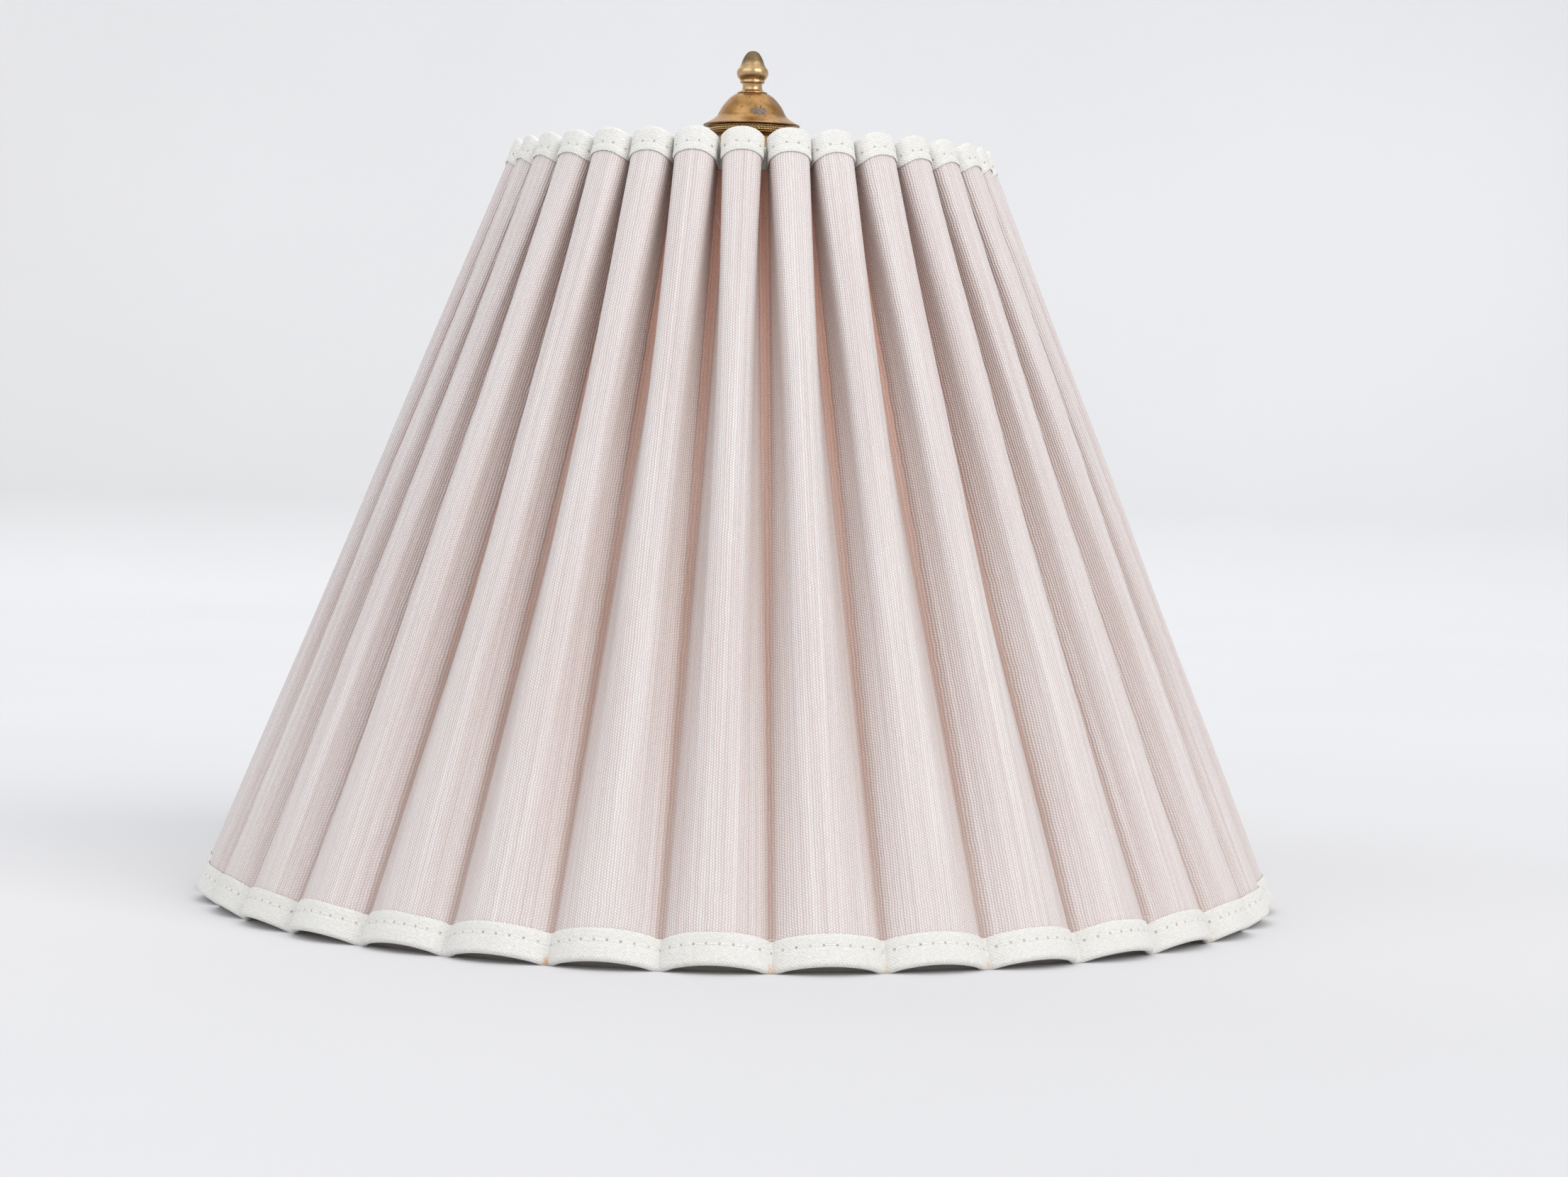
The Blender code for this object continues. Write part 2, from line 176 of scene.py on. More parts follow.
def deselect_all():
    if bpy.context.object and bpy.context.object.mode != "OBJECT":
        bpy.ops.object.mode_set(mode="OBJECT")
    bpy.ops.object.select_all(action="DESELECT")


def select_only(*pieces):
    deselect_all()
    for piece in pieces:
        piece.select_set(True)
    bpy.context.view_layer.objects.active = pieces[0]


def settle(piece):
    """Put an object's place, turn and scale into its mesh."""
    select_only(piece)
    bpy.ops.object.transform_apply(location=True, rotation=True, scale=True)
    return piece


def shade_round(piece, angle_deg):
    """Smooth every edge that turns less than the angle."""
    select_only(piece)
    bpy.ops.object.shade_smooth_by_angle(angle=math.radians(angle_deg))
    return piece


def turn_faces_out(piece):
    """Make every face of a closed mesh point outwards, in edit mode and back."""
    select_only(piece)
    bpy.ops.object.mode_set(mode="EDIT")
    bpy.ops.mesh.select_all(action="SELECT")
    bpy.ops.mesh.normals_make_consistent(inside=False)
    bpy.ops.object.mode_set(mode="OBJECT")
    return piece


def join(pieces):
    """Join pieces into the first one."""
    select_only(*pieces)
    bpy.ops.object.join()
    return pieces[0]


def lathe(outline, steps=96):
    """Draw an outline of (radius, z) points by extruding one corner, then spin it about Z.

    An outline that is clear of the axis is closed, and needs more than four points.
    """
    deselect_all()
    radius, z = outline[0]
    bpy.ops.mesh.primitive_plane_add(size=0.001, location=(0.0, 0.0, 0.0))
    piece = bpy.context.object
    bpy.ops.object.mode_set(mode="EDIT")
    bpy.ops.mesh.merge(type="CENTER")
    bpy.ops.transform.translate(value=(radius, 0.0, z))
    for (radius, z), (next_radius, next_z) in zip(outline, outline[1:]):
        bpy.ops.mesh.extrude_vertices_move(
            TRANSFORM_OT_translate={"value": (next_radius - radius, 0.0, next_z - z)})
    bpy.ops.mesh.select_all(action="SELECT")
    if outline[0][0] > 0.0 and outline[-1][0] > 0.0:
        bpy.ops.mesh.select_all(action="DESELECT")
        bpy.ops.object.mode_set(mode="OBJECT")
        for index in (0, len(outline) - 1):
            piece.data.vertices[index].select = True
        bpy.ops.object.mode_set(mode="EDIT")
        bpy.ops.mesh.edge_face_add()
        bpy.ops.mesh.select_all(action="SELECT")
    bpy.ops.mesh.spin(steps=steps, angle=2.0 * math.pi, center=(0.0, 0.0, 0.0), axis=(0.0, 0.0, 1.0))
    bpy.ops.mesh.select_all(action="SELECT")
    bpy.ops.mesh.remove_doubles(threshold=1e-6)
    bpy.ops.mesh.normals_make_consistent(inside=False)
    bpy.ops.object.mode_set(mode="OBJECT")
    return shade_round(settle(piece), 35.0)


def arc(centre_radius, centre_z, radius, start_deg, end_deg, count):
    """Outline points on an arc, by its centre, radius and first and last angles."""
    angles = np.radians(np.linspace(start_deg, end_deg, count))
    return [(centre_radius + radius * math.cos(a), centre_z + radius * math.sin(a)) for a in angles]


def through(points, per_span=4):
    """A smooth line through a few points, a Catmull-Rom curve."""
    line = [np.array(p, float) for p in points]
    line = [2 * line[0] - line[1], *line, 2 * line[-1] - line[-2]]
    out = []
    for a, b, c, d in zip(line, line[1:], line[2:], line[3:]):
        for step in range(per_span):
            t = step / per_span
            out.append(0.5 * (2 * b + (c - a) * t + (2 * a - 5 * b + 4 * c - d) * t**2
                              + (3 * b - a - 3 * c + d) * t**3))
    out.append(line[-2])
    return [tuple(float(v) for v in p) for p in out]


def in_mm(*outline):
    """An outline given in millimetres, in metres."""
    return [(radius * MM, height * MM) for radius, height in outline]


def lifted(outline, z):
    """An outline moved up by z."""
    return [(radius, z + height) for radius, height in outline]


def around(radius, z, angle):
    """A point by its radius, height and angle from the front towards +X."""
    return (radius * math.sin(angle), -radius * math.cos(angle), z)


def wire(points, radius, sides=12):
    """A round wire along a smooth line, with rounded ends."""
    deselect_all()
    bpy.ops.curve.primitive_nurbs_path_add(location=(0.0, 0.0, 0.0))
    line = bpy.context.object
    line.data.splines.clear()
    spline = line.data.splines.new("POLY")
    spline.points.add(len(points) - 1)
    for spot, point in zip(spline.points, points):
        spot.co = (*point, 1.0)
    spline.points[0].radius = spline.points[-1].radius = 0.72
    line.data.bevel_depth = radius
    line.data.bevel_resolution = sides // 4
    line.data.use_fill_caps = True
    bpy.ops.object.convert(target="MESH")
    piece = bpy.context.object
    bpy.ops.object.mode_set(mode="EDIT")
    bpy.ops.mesh.select_all(action="SELECT")
    bpy.ops.mesh.remove_doubles(threshold=1e-6)
    bpy.ops.object.mode_set(mode="OBJECT")
    return shade_round(turn_faces_out(piece), 60.0)


# Materials ------------------------------------------------------------------------------------

class Finish:
    """Builds one material out of shader nodes."""

    def __init__(self, name, **constants):
        self.material = bpy.data.materials.new(name)
        self.material.use_nodes = True
        self.tree = self.material.node_tree
        self.shader = self.tree.nodes["Principled BSDF"]
        for socket, value in constants.items():
            self.shader.inputs[socket.replace("_", " ")].default_value = value

    def node(self, kind, inputs=(), **settings):
        node = self.tree.nodes.new(kind)
        for name, value in settings.items():
            setattr(node, name, value)
        for socket, value in dict(inputs).items():
            self.feed(node.inputs[socket], value)
        return node

    def feed(self, socket, value):
        if isinstance(value, bpy.types.NodeSocket):
            self.tree.links.new(value, socket)
        elif socket.type == "RGBA":
            socket.default_value = (*tuple(value)[:3], 1.0)
        else:
            socket.default_value = value

    def maths(self, operation, *values, clamp=False):
        inputs = dict(enumerate(values))
        return self.node("ShaderNodeMath", inputs, operation=operation, use_clamp=clamp).outputs[0]

    def blend(self, factor, low, high, mode="MIX"):
        node = self.node("ShaderNodeMix", data_type="RGBA", blend_type=mode)
        for socket, value in zip((node.inputs[0], node.inputs[6], node.inputs[7]), (factor, low, high)):
            self.feed(socket, value)
        return node.outputs[2]

    def scaled(self, value, low, high, to_low=0.0, to_high=1.0):
        inputs = {"Value": value, "From Min": low, "From Max": high, "To Min": to_low, "To Max": to_high}
        return self.node("ShaderNodeMapRange", inputs, clamp=True).outputs[0]

    def noise(self, vector, scale, detail=3.0, roughness=0.5):
        inputs = {"Vector": vector, "Scale": scale, "Detail": detail, "Roughness": roughness}
        return self.node("ShaderNodeTexNoise", inputs).outputs["Fac"]

    def place(self):
        return self.node("ShaderNodeTexCoord").outputs["Object"]

    def stretched(self, vector, scale):
        return self.node("ShaderNodeMapping", {"Vector": vector, "Scale": scale}).outputs[0]

    def thread_lines(self):
        """The flat cloth's own coordinates in metres: across the threads and along them."""
        flat = self.node("ShaderNodeUVMap", uv_map="flat_cloth").outputs[0]
        parts = self.node("ShaderNodeSeparateXYZ", {0: flat})
        return flat, parts.outputs[0], parts.outputs[1]

    def attribute(self, name):
        return self.node("ShaderNodeAttribute", attribute_name=name).outputs["Fac"]

    def ripple(self, coordinate, pitch, turns=1.0):
        """A cosine along a coordinate, with a stated pitch."""
        return self.maths("COSINE", self.maths("MULTIPLY", coordinate, turns * 2.0 * math.pi / pitch))

    def relief(self, height, distance, strength=1.0):
        inputs = {"Height": height, "Distance": distance, "Strength": strength}
        self.feed(self.shader.inputs["Normal"], self.node("ShaderNodeBump", inputs).outputs[0])

    def so_far(self):
        """The sockets that give the colour and the roughness now."""
        return (self.shader.inputs[name].links[0].from_socket for name in ("Base Color", "Roughness"))

    def colour(self, value):
        self.feed(self.shader.inputs["Base Color"], value)

    def roughness(self, value):
        self.feed(self.shader.inputs["Roughness"], value)


def cloth_finish(cloth):
    """Pink ground with white ribs, whose knots stand in brick order; in the folds darker and pinker, unfaded
    dye with painted shade, and deepest at the top a painted warm glow.
    """
    finish = Finish(
        "ribbed_cloth", Roughness=0.88, Sheen_Weight=0.25, Sheen_Roughness=0.5, Specular_IOR_Level=0.2)
    flat, across, along = finish.thread_lines()
    pitch = cloth.developed / cloth.ribs
    wander = finish.scaled(finish.noise(flat, 160.0, 2.0), 0.3, 0.7, -0.2 * pitch, 0.2 * pitch)
    across = finish.maths("ADD", across, wander)
    thick = finish.noise(finish.stretched(flat, (1.0 / pitch, 12.0, 1.0)), 0.55, 2.0)
    ribs = finish.ripple(across, pitch)
    knots = finish.ripple(along, cloth.knot_pitch)
    knots = finish.maths("MULTIPLY", finish.ripple(across, pitch, 0.5), knots)
    weave = finish.maths("MULTIPLY_ADD", ribs, 0.27, finish.maths("MULTIPLY_ADD", knots, 0.26, 0.60))
    weave = finish.maths("ADD", weave, finish.scaled(thick, 0.3, 0.7, -0.14, 0.14), clamp=True)
    # The fold attribute paints the folds darker and pinker: unfaded dye with painted shade
    fold = finish.attribute("fold")
    # Past 0.9 the fold attribute paints a warm glow deep in the top valleys
    inmost_glow = finish.scaled(fold, 0.9, 1.0)
    fading = finish.noise(finish.stretched(flat, (1.0, 1.6, 1.0)), 9.0, 3.0, 0.6)
    thread = finish.blend(finish.scaled(fading, 0.3, 0.7), cloth.thread_colour, (0.94, 0.905, 0.895))
    face = finish.blend(weave, cloth.ground_colour, thread)
    depth = finish.maths("MULTIPLY", fold, finish.scaled(fading, 0.2, 0.8, 0.82, 1.0), clamp=True)
    folded = finish.blend(weave, cloth.fold_dye_and_shade_colour, (0.50, 0.335, 0.27))
    folded = finish.blend(inmost_glow, folded, cloth.inmost_glow_colour)
    finish.colour(finish.blend(depth, face, folded))
    finish.relief(weave, 0.45 * MM, 1.0)
    return finish.material


def lining_finish(cloth):
    """Cream lining fabric, finely woven, a little yellowed in patches."""
    finish = Finish("cream_lining", Roughness=0.9, Sheen_Weight=0.1, Specular_IOR_Level=0.2)
    flat, across, along = finish.thread_lines()
    weave = finish.maths("MULTIPLY", finish.ripple(across, 1.1 * MM), finish.ripple(along, 0.9 * MM))
    stain = finish.noise(flat, 14.0, 4.0, 0.6)
    yellowed = finish.blend(finish.scaled(stain, 0.42, 0.72), cloth.lining_colour, (0.74, 0.63, 0.45))
    slub = finish.noise(finish.stretched(flat, (900.0, 30.0, 1.0)), 1.0, 2.0)
    finish.colour(finish.blend(finish.scaled(slub, 0.35, 0.75, 0.0, 0.35), yellowed, (0.86, 0.82, 0.74)))
    finish.relief(finish.maths("MULTIPLY_ADD", weave, 0.35, slub), 0.18 * MM, 0.7)
    return finish.material


def tape_finish(tape, cloth, seam, name):
    """Plain-woven ivory cotton, with darker spots of painted shade at the stitch holes and a few glue stains
    at the folds.
    """
    finish = Finish(name, Roughness=0.86, Sheen_Weight=0.2, Specular_IOR_Level=0.2)
    flat, across, along = finish.thread_lines()
    warp, weft = 0.60 * MM, 0.54 * MM
    over = finish.maths("MULTIPLY", finish.ripple(across, warp, 0.5), finish.ripple(along, weft, 0.5))
    lines = finish.maths("ADD", finish.ripple(across, warp), finish.ripple(along, weft))
    weave = finish.maths("MULTIPLY_ADD", over, 0.30, finish.maths("MULTIPLY_ADD", lines, 0.10, 0.5))
    uneven = finish.noise(finish.stretched(flat, (1.0, 2.0, 1.0)), 700.0, 2.0)
    weave = finish.maths("ADD", weave, finish.scaled(uneven, 0.3, 0.7, -0.2, 0.2), clamp=True)
    shaded = tuple(0.76 * value for value in tape.colour)
    cotton = finish.blend(weave, shaded, tape.colour)
    soiled = finish.scaled(finish.noise(flat, 45.0, 3.0), 0.5, 0.8, 0.0, 0.30)
    cotton = finish.blend(soiled, cotton, (0.70, 0.67, 0.58))
    pitch = cloth.developed * cloth.flutes / tape.stitches
    beside = finish.maths("PINGPONG", across, pitch / 2.0)
    above = finish.maths("SUBTRACT", along, seam)
    above = finish.maths("MULTIPLY", above, above)
    away = finish.maths("SQRT", finish.maths("ADD", finish.maths("POWER", beside, 2.0), above))
    # Darker spots at the stitch holes: painted shade in the holes; the relief gives them dimples
    prick = finish.scaled(away, 0.18 * MM, 0.52 * MM, 1.0, 0.0)
    uneven_holes = finish.noise(finish.stretched(flat, (1.0, 0.0, 1.0)), 170.0, 1.0)
    darker = finish.scaled(uneven_holes, 0.35, 0.65, 0.15, 0.8)
    cotton = finish.blend(finish.maths("MULTIPLY", prick, darker), cotton, (0.45, 0.33, 0.25))
    patchy = finish.scaled(finish.noise(flat, 420.0), 0.3, 0.6)
    stain = finish.maths("MULTIPLY", finish.attribute("stain"), patchy)
    finish.colour(finish.blend(stain, cotton, tape.stain_colour))
    finish.relief(finish.maths("SUBTRACT", weave, finish.maths("MULTIPLY", prick, 1.5)), 0.26 * MM, 0.9)
    return finish.material


def thread_finish():
    """Twisted off-white sewing thread."""
    finish = Finish("sewing_thread", Roughness=0.7, Sheen_Weight=0.15, Specular_IOR_Level=0.3)
    place = finish.place()
    twist = finish.noise(finish.stretched(place, (1.0, 1.0, 2.5)), 2600.0, 2.0)
    finish.colour(finish.blend(finish.scaled(twist, 0.3, 0.7), (0.82, 0.80, 0.75), (0.95, 0.94, 0.91)))
    finish.relief(twist, 0.1 * MM, 0.6)
    return finish.material


def steel_finish(wires):
    """Dull drawn steel with rust in spots and fine lengthwise scratches."""
    finish = Finish("dull_steel", Metallic=0.9)
    place = finish.place()
    grime = finish.noise(place, 160.0, 5.0, 0.65)
    spots = finish.noise(place, 620.0, 3.0, 0.6)
    rust = finish.maths("MULTIPLY", finish.scaled(grime, 0.52, 0.68), finish.scaled(spots, 0.42, 0.6))
    steel = finish.blend(finish.scaled(spots, 0.3, 0.7), wires.steel_colour, (0.56, 0.55, 0.53))
    finish.colour(finish.blend(rust, steel, wires.rust_colour))
    finish.roughness(finish.scaled(grime, 0.3, 0.7, 0.34, 0.62))
    finish.relief(finish.maths("ADD", spots, rust), 0.12 * MM, 0.6)
    return finish.material


def brass_finish(brass, name, worn, patina, wear_and_light_tint):
    """Gilded brass with paler clouds, dark specks and streaks; worn mixes in the tint, which on the beads is
    a painted highlight and on the shadowed drum painted shade.
    """
    finish = Finish(name, Metallic=1.0)
    place = finish.place()
    clouds = finish.noise(place, 130.0, 5.0, 0.62)
    specks = finish.noise(place, 900.0, 4.0, 0.7)
    streaks = finish.noise(finish.stretched(place, (1.0, 1.0, 0.35)), 420.0, 4.0, 0.65)
    metal = finish.blend(finish.scaled(clouds, 0.35, 0.68), brass.brass_colour, brass.rose_colour)
    metal = finish.blend(worn, metal, wear_and_light_tint)
    dulled = finish.scaled(streaks, 0.50, 0.74, 0.0, patina)
    metal = finish.blend(dulled, metal, brass.patina_colour)
    dark = finish.maths("MULTIPLY", finish.scaled(specks, 0.60, 0.68), finish.scaled(clouds, 0.38, 0.56))
    finish.colour(finish.blend(finish.maths("MULTIPLY", dark, 0.85), metal, (0.035, 0.022, 0.014)))
    cloudy = finish.scaled(clouds, 0.3, 0.7, 0.23, 0.38)
    finish.roughness(finish.maths("ADD", cloudy, finish.maths("MULTIPLY", dark, 0.3)))
    pitted = finish.maths("MULTIPLY_ADD", dark, -1.0, finish.maths("MULTIPLY", streaks, 0.3))
    finish.relief(pitted, 0.12 * MM, 0.6)
    return finish


def grey_patch(finish, centre, reach):
    """A grey, rougher patch with a ragged, speckled edge, round a given centre."""
    place = finish.place()
    scale = tuple(1.0 / size for size in reach)
    shift = tuple(-middle / size for middle, size in zip(centre, reach))
    near = finish.node("ShaderNodeMapping", {"Vector": place, "Scale": scale, "Location": shift}).outputs[0]
    away = finish.node("ShaderNodeVectorMath", {0: near}, operation="LENGTH").outputs["Value"]
    ragged = finish.maths("MULTIPLY_ADD", finish.noise(place, 950.0, 4.0, 0.65), 1.9, away)
    grey_mask = finish.scaled(ragged, 1.55, 2.0, 0.9, 0.0)
    metal, rough = finish.so_far()
    speckle = finish.scaled(finish.noise(place, 2300.0, 3.0), 0.42, 0.6)
    finish.colour(finish.blend(grey_mask, metal, finish.blend(speckle, (0.12, 0.10, 0.09), (0.22, 0.195, 0.18))))
    finish.roughness(finish.maths("MULTIPLY_ADD", grey_mask, 0.2, rough))


# The fluted wall ------------------------------------------------------------------------------

def cloth_shares(half_count=22):
    """Shares of half a flute's cloth, crest to valley, set closer together where the cloth turns."""
    closer_by_turn = 0.45
    run = np.linspace(0.0, 1.0, 600)
    turning = np.zeros_like(run)
    for slopes in (TOP_SLOPES, BOTTOM_SLOPES):
        stops = np.array(slopes)
        slope = np.interp(run * stops[-1, 0], stops[:, 0], np.radians(stops[:, 1]))
        turning += np.abs(np.gradient(slope, run))
    density = np.cumsum(1.0 + closer_by_turn * turning)
    return np.interp(np.linspace(density[0], density[-1], half_count + 1), density, run)


def half_outline(slopes, crest_radius, depth, valley_angle, shares):
    """Sideways and inward distances from the crest, at shares of the cloth from crest to valley."""
    stops = np.array(slopes)
    run = np.linspace(0.0, stops[-1, 0], 2000)
    slope = np.radians(np.interp(run, stops[:, 0], stops[:, 1]))
    sideways, inward = np.cumsum(np.cos(slope)), np.cumsum(np.sin(slope))
    valley_radius = crest_radius - depth
    sideways *= valley_radius * math.sin(valley_angle) / sideways[-1]
    inward *= (crest_radius - valley_radius * math.cos(valley_angle)) / inward[-1]
    at = shares * run[-1]
    return np.interp(at, run, sideways), np.interp(at, run, inward)


class Wall:
    """The cloth's outer face: straight lines from the lower edge to the upper one, column by column."""

    def __init__(self, cloth):
        half = cloth_shares()
        steps = np.concatenate([-half[::-1], half[1:]])[:-1]        # valley, crest, up to the next valley
        random = np.random.default_rng(SEED)
        flutes = cloth.flutes
        flute, step = np.repeat(np.arange(flutes), len(steps)), np.tile(steps, flutes)
        self.flutes, self.width = flutes, cloth.developed * flutes
        self.across = (flute + 0.5 + 0.5 * step) * cloth.developed
        self.step, self.flute = step, flute
        self.lower, _ = self.edge(cloth, BOTTOM_SLOPES, cloth.bottom_radius, cloth.bottom_depth,
                                  COVER_LOW.z, cloth.bottom_rise, 0.0, half, 1.5, random)
        self.upper, self.fold = self.edge(cloth, TOP_SLOPES, cloth.top_radius, cloth.top_depth,
                                          COVER_HIGH.z - cloth.top_rise, cloth.top_rise, TOP_ARCH,
                                          half, 1.0, random)
        self.run = self.upper - self.lower
        self.length = np.linalg.norm(self.run, axis=1)
        turn = 2.0 * math.pi * (flute + 0.5) / flutes
        nip_start = 0.12                # share of the way from crest to valley
        off_crest = np.clip((np.abs(step) - nip_start) / (1.0 - nip_start), 0.0, 1.0)
        nip = FLANK_NIP * np.sin(math.pi * off_crest) * -np.sign(step)
        self.nip = nip[:, None] * np.stack([np.cos(turn), np.sin(turn), np.zeros_like(turn)], axis=1)

    def edge(self, cloth, slopes, radius, depth, valley_z, rise, arch, half, looseness, random):
        """Points on an edge, and how deep in its flute each one lies, from 0 at a crest to 1."""
        sideways, inward = half_outline(slopes, radius, depth, math.pi / cloth.flutes, half)
        stray = random.normal(0.0, cloth.unevenness * looseness, (3, cloth.flutes))
        stray = np.clip(stray, -2.0 * cloth.unevenness, 2.0 * cloth.unevenness)
        share = np.abs(self.step)
        out_of_line, moved_crest, moved_valley = stray
        beyond = (self.flute + (self.step > 0.0)) % cloth.flutes
        x = np.interp(share, half, sideways) * np.sign(self.step)
        x += moved_crest[self.flute] * (1.0 - share) + moved_valley[beyond] * share
        y = np.interp(share, half, inward)
        out = np.clip(1.0 - (radius - np.hypot(x, radius - y)) / depth, 0.0, 1.0)
        lift = out * (1.0 - arch * (np.abs(x) / np.abs(x).max()) ** 2.2)
        y = y - out_of_line[self.flute] * (1.0 - share**2)
        turn = 2.0 * math.pi * (self.flute + 0.5) / cloth.flutes
        angle = turn + np.arctan2(x, radius - y)
        reach = np.hypot(x, radius - y)
        points = np.stack([reach * np.sin(angle), -reach * np.cos(angle), valley_z + rise * lift], axis=1)
        return points, 1.0 - out

    def points(self, distances, offsets, edge):
        """Points at distances from an edge along the cloth and offsets outwards from its face."""
        distances, offsets = np.broadcast_arrays(distances, offsets)
        share = np.atleast_2d(distances) / self.length[:, None]
        if edge == "upper":
            share = 1.0 - share
        face = self.lower[:, None] + self.run[:, None] * share[..., None]
        between = np.sin(math.pi * np.clip(share, 0.0, 1.0) ** 1.5)
        face = face + self.nip[:, None] * between[..., None]
        sideways = np.roll(face, -1, axis=0) - np.roll(face, 1, axis=0)
        outwards = np.cross(sideways, self.run[:, None])
        outwards /= np.linalg.norm(outwards, axis=2, keepdims=True)
        return face + outwards * np.broadcast_to(offsets, share.shape)[..., None]

    def line(self, across, distance, offset, edge):
        """Points at places across the flat cloth, all at one distance from an edge."""
        ring = self.points(np.array([distance]), np.array([offset]), edge)[:, 0]
        ring = np.vstack([ring, ring[:1]])
        first = self.across[0]
        place = (np.asarray(across) - first) % self.width + first
        across_round = np.append(self.across, first + self.width)
        return np.stack([np.interp(place, across_round, ring[:, axis]) for axis in range(3)], axis=1)


def loft_round(name, sections, across, along, **attributes):
    """Join closed sections round the shade into one closed skin, with the flat cloth's coordinates."""
    columns, count = sections.shape[:2]
    column, spot = np.meshgrid(np.arange(columns), np.arange(count), indexing="ij")
    following, beside = (spot + 1) % count, (column + 1) % columns
    corners = np.stack([column * count + spot, beside * count + spot,
                        beside * count + following, column * count + following], axis=-1)
    mesh = bpy.data.meshes.new(name)
    mesh.from_pydata(sections.reshape(-1, 3).tolist(), [], corners.reshape(-1, 4).tolist())
    flat = mesh.uv_layers.new(name="flat_cloth")
    across_next = np.append(across[1:], across[0] + (across[-1] - across[0]) + (across[1] - across[0]))
    u = np.stack([across[column], across_next[column], across_next[column], across[column]], axis=-1)
    v = np.stack([along[spot], along[spot], along[following], along[following]], axis=-1)
    flat.data.foreach_set("uv", np.stack([u, v], axis=-1).astype(np.float32).ravel())
    for key, values in attributes.items():
        layer = mesh.attributes.new(key, "FLOAT", "POINT")
        layer.data.foreach_set("value", np.ascontiguousarray(values, np.float32).ravel())
    mesh.shade_smooth()
    piece = bpy.data.objects.new(name, mesh)
    bpy.context.scene.collection.objects.link(piece)
    return shade_round(piece, 50.0)


def sheet_sections(wall, face_offset, thickness, rows, ripple):
    """Sections of a sheet that hangs between the two folds: up its outer face and down its inner one."""
    share = np.linspace(0.0, 1.0, rows)
    distances = CLOTH_INSET + (wall.length[:, None] - 2.0 * CLOTH_INSET) * share[None]
    outer = wall.points(distances, face_offset + ripple, "lower")
    inner = wall.points(distances, face_offset - thickness + ripple, "lower")
    along = np.linspace(0.0, float(wall.length.mean()), rows)
    return np.concatenate([outer, inner[:, ::-1]], axis=1), np.concatenate([along, along[::-1]]), share


def soft_ripple(wall, rows, amount=RIPPLE):
    """Slow hollows and swellings along each flute, none at the edges."""
    random = np.random.default_rng(SEED + 1)
    flutes = wall.flutes
    share = np.linspace(0.0, 1.0, rows)
    phase = random.uniform(0.0, 2.0 * math.pi, (2, flutes))
    waves = random.uniform(0.9, 2.3, (2, flutes))
    crest = 1.0 - np.abs(wall.step)[:, None] ** 2
    swell, lean = (
        np.sin(rate[wall.flute][:, None] * 2.0 * math.pi * share + start[wall.flute][:, None])
        for rate, start in zip(waves, phase))
    return amount * np.sin(math.pi * share)[None] * crest * (swell + 0.7 * lean * wall.step[:, None])


def tape_sections(wall, width, turn_in, seam, stitches, edge):
    """A tape folded over an edge, puffed between its stitches and sunk along their seam."""
    thin_edge, seam_reach, puff_height = 0.6 * MM, 0.8 * MM, 0.13 * MM
    outer_mid = TAPE_GAP + TAPE_THICKNESS / 2.0
    inner_mid = -(CLOTH_THICKNESS + LINING_GAP + LINING_THICKNESS + TAPE_GAP + TAPE_THICKNESS / 2.0)
    middle, half_gap = (outer_mid + inner_mid) / 2.0, (outer_mid - inner_mid) / 2.0
    fold_depth = 2.0 * TAPE_THICKNESS
    turn = np.linspace(0.0, math.pi, 11)
    fold = np.stack([TAPE_THICKNESS - fold_depth * np.sin(turn), middle + half_gap * np.cos(turn)], axis=1)
    outer = np.stack([np.linspace(width, TAPE_THICKNESS, 13)[:-1], np.full(12, outer_mid)], axis=1)
    inner = np.stack([np.linspace(TAPE_THICKNESS, turn_in, 8)[1:], np.full(7, inner_mid)], axis=1)
    path = np.concatenate([outer, fold, inner])
    heading = np.gradient(path, axis=0)
    heading /= np.linalg.norm(heading, axis=1, keepdims=True)
    away = np.stack([-heading[:, 1], heading[:, 0]], axis=1)      # out of the fold
    length = np.concatenate([[0.0], np.cumsum(np.linalg.norm(np.diff(path, axis=0), axis=1))])
    flat = width - length                                         # measured up from the fold outside
    from_edge = np.minimum(length, length[-1] - length)
    half = TAPE_THICKNESS / 2.0 * np.minimum(1.0, 0.45 + from_edge / thin_edge)
    proud, back = path - away * half[:, None], path + away * half[:, None]
    pitch = wall.width / stitches
    hole = np.abs((wall.across / pitch + 0.5) % 1.0 - 0.5) * 2.0      # 0 at a stitch hole, 1 midway
    sunk = np.exp(-((flat - seam) / seam_reach) ** 2)
    puff = puff_height * np.sqrt(np.clip(hole, 0.0, 1.0))[:, None] * (1.0 - sunk)
    puff = puff * np.clip((width - flat) / (1.0 * MM), 0.0, 1.0)
    dip = -puff_height * sunk[None] * (1.0 - 0.35 * hole[:, None])
    outside = (flat > 0.0)[None] * (puff + dip)
    random = np.random.default_rng(SEED + (2 if edge == "upper" else 3))
    places = np.linspace(0.0, wall.width, 140)
    wander = np.interp(wall.across, places, random.normal(0.0, 0.18 * MM, len(places)))
    flutter = wander[:, None] * np.clip(flat / width, 0.0, 1.0)[None] ** 2
    loops = []
    for face in (proud, back[::-1]):
        order = slice(None) if face is proud else slice(None, None, -1)
        distance = face[None, :, 0] + flutter[:, order]
        loops.append(wall.points(distance, face[None, :, 1] + outside[:, order], edge))
    sections = np.concatenate(loops, axis=1)
    along = np.concatenate([flat, flat[::-1]])
    if edge == "upper":
        return sections, along
    return sections[:, ::-1], along[::-1]


def stain_places(wall, along, valleys):
    """How strongly the old glue shows, near the fold of some valleys."""
    stain = np.zeros((len(wall.across), len(along)))
    pitch = wall.width / wall.flutes
    at_fold = np.exp(-((along - 0.3 * MM) / (1.6 * MM)) ** 2)
    for valley, strength, reach in valleys:
        beside = (wall.across - valley * pitch + wall.width / 2.0) % wall.width - wall.width / 2.0
        stain += strength * np.exp(-(beside / reach) ** 2)[:, None] * at_fold[None]
    return np.clip(stain, 0.0, 1.0)


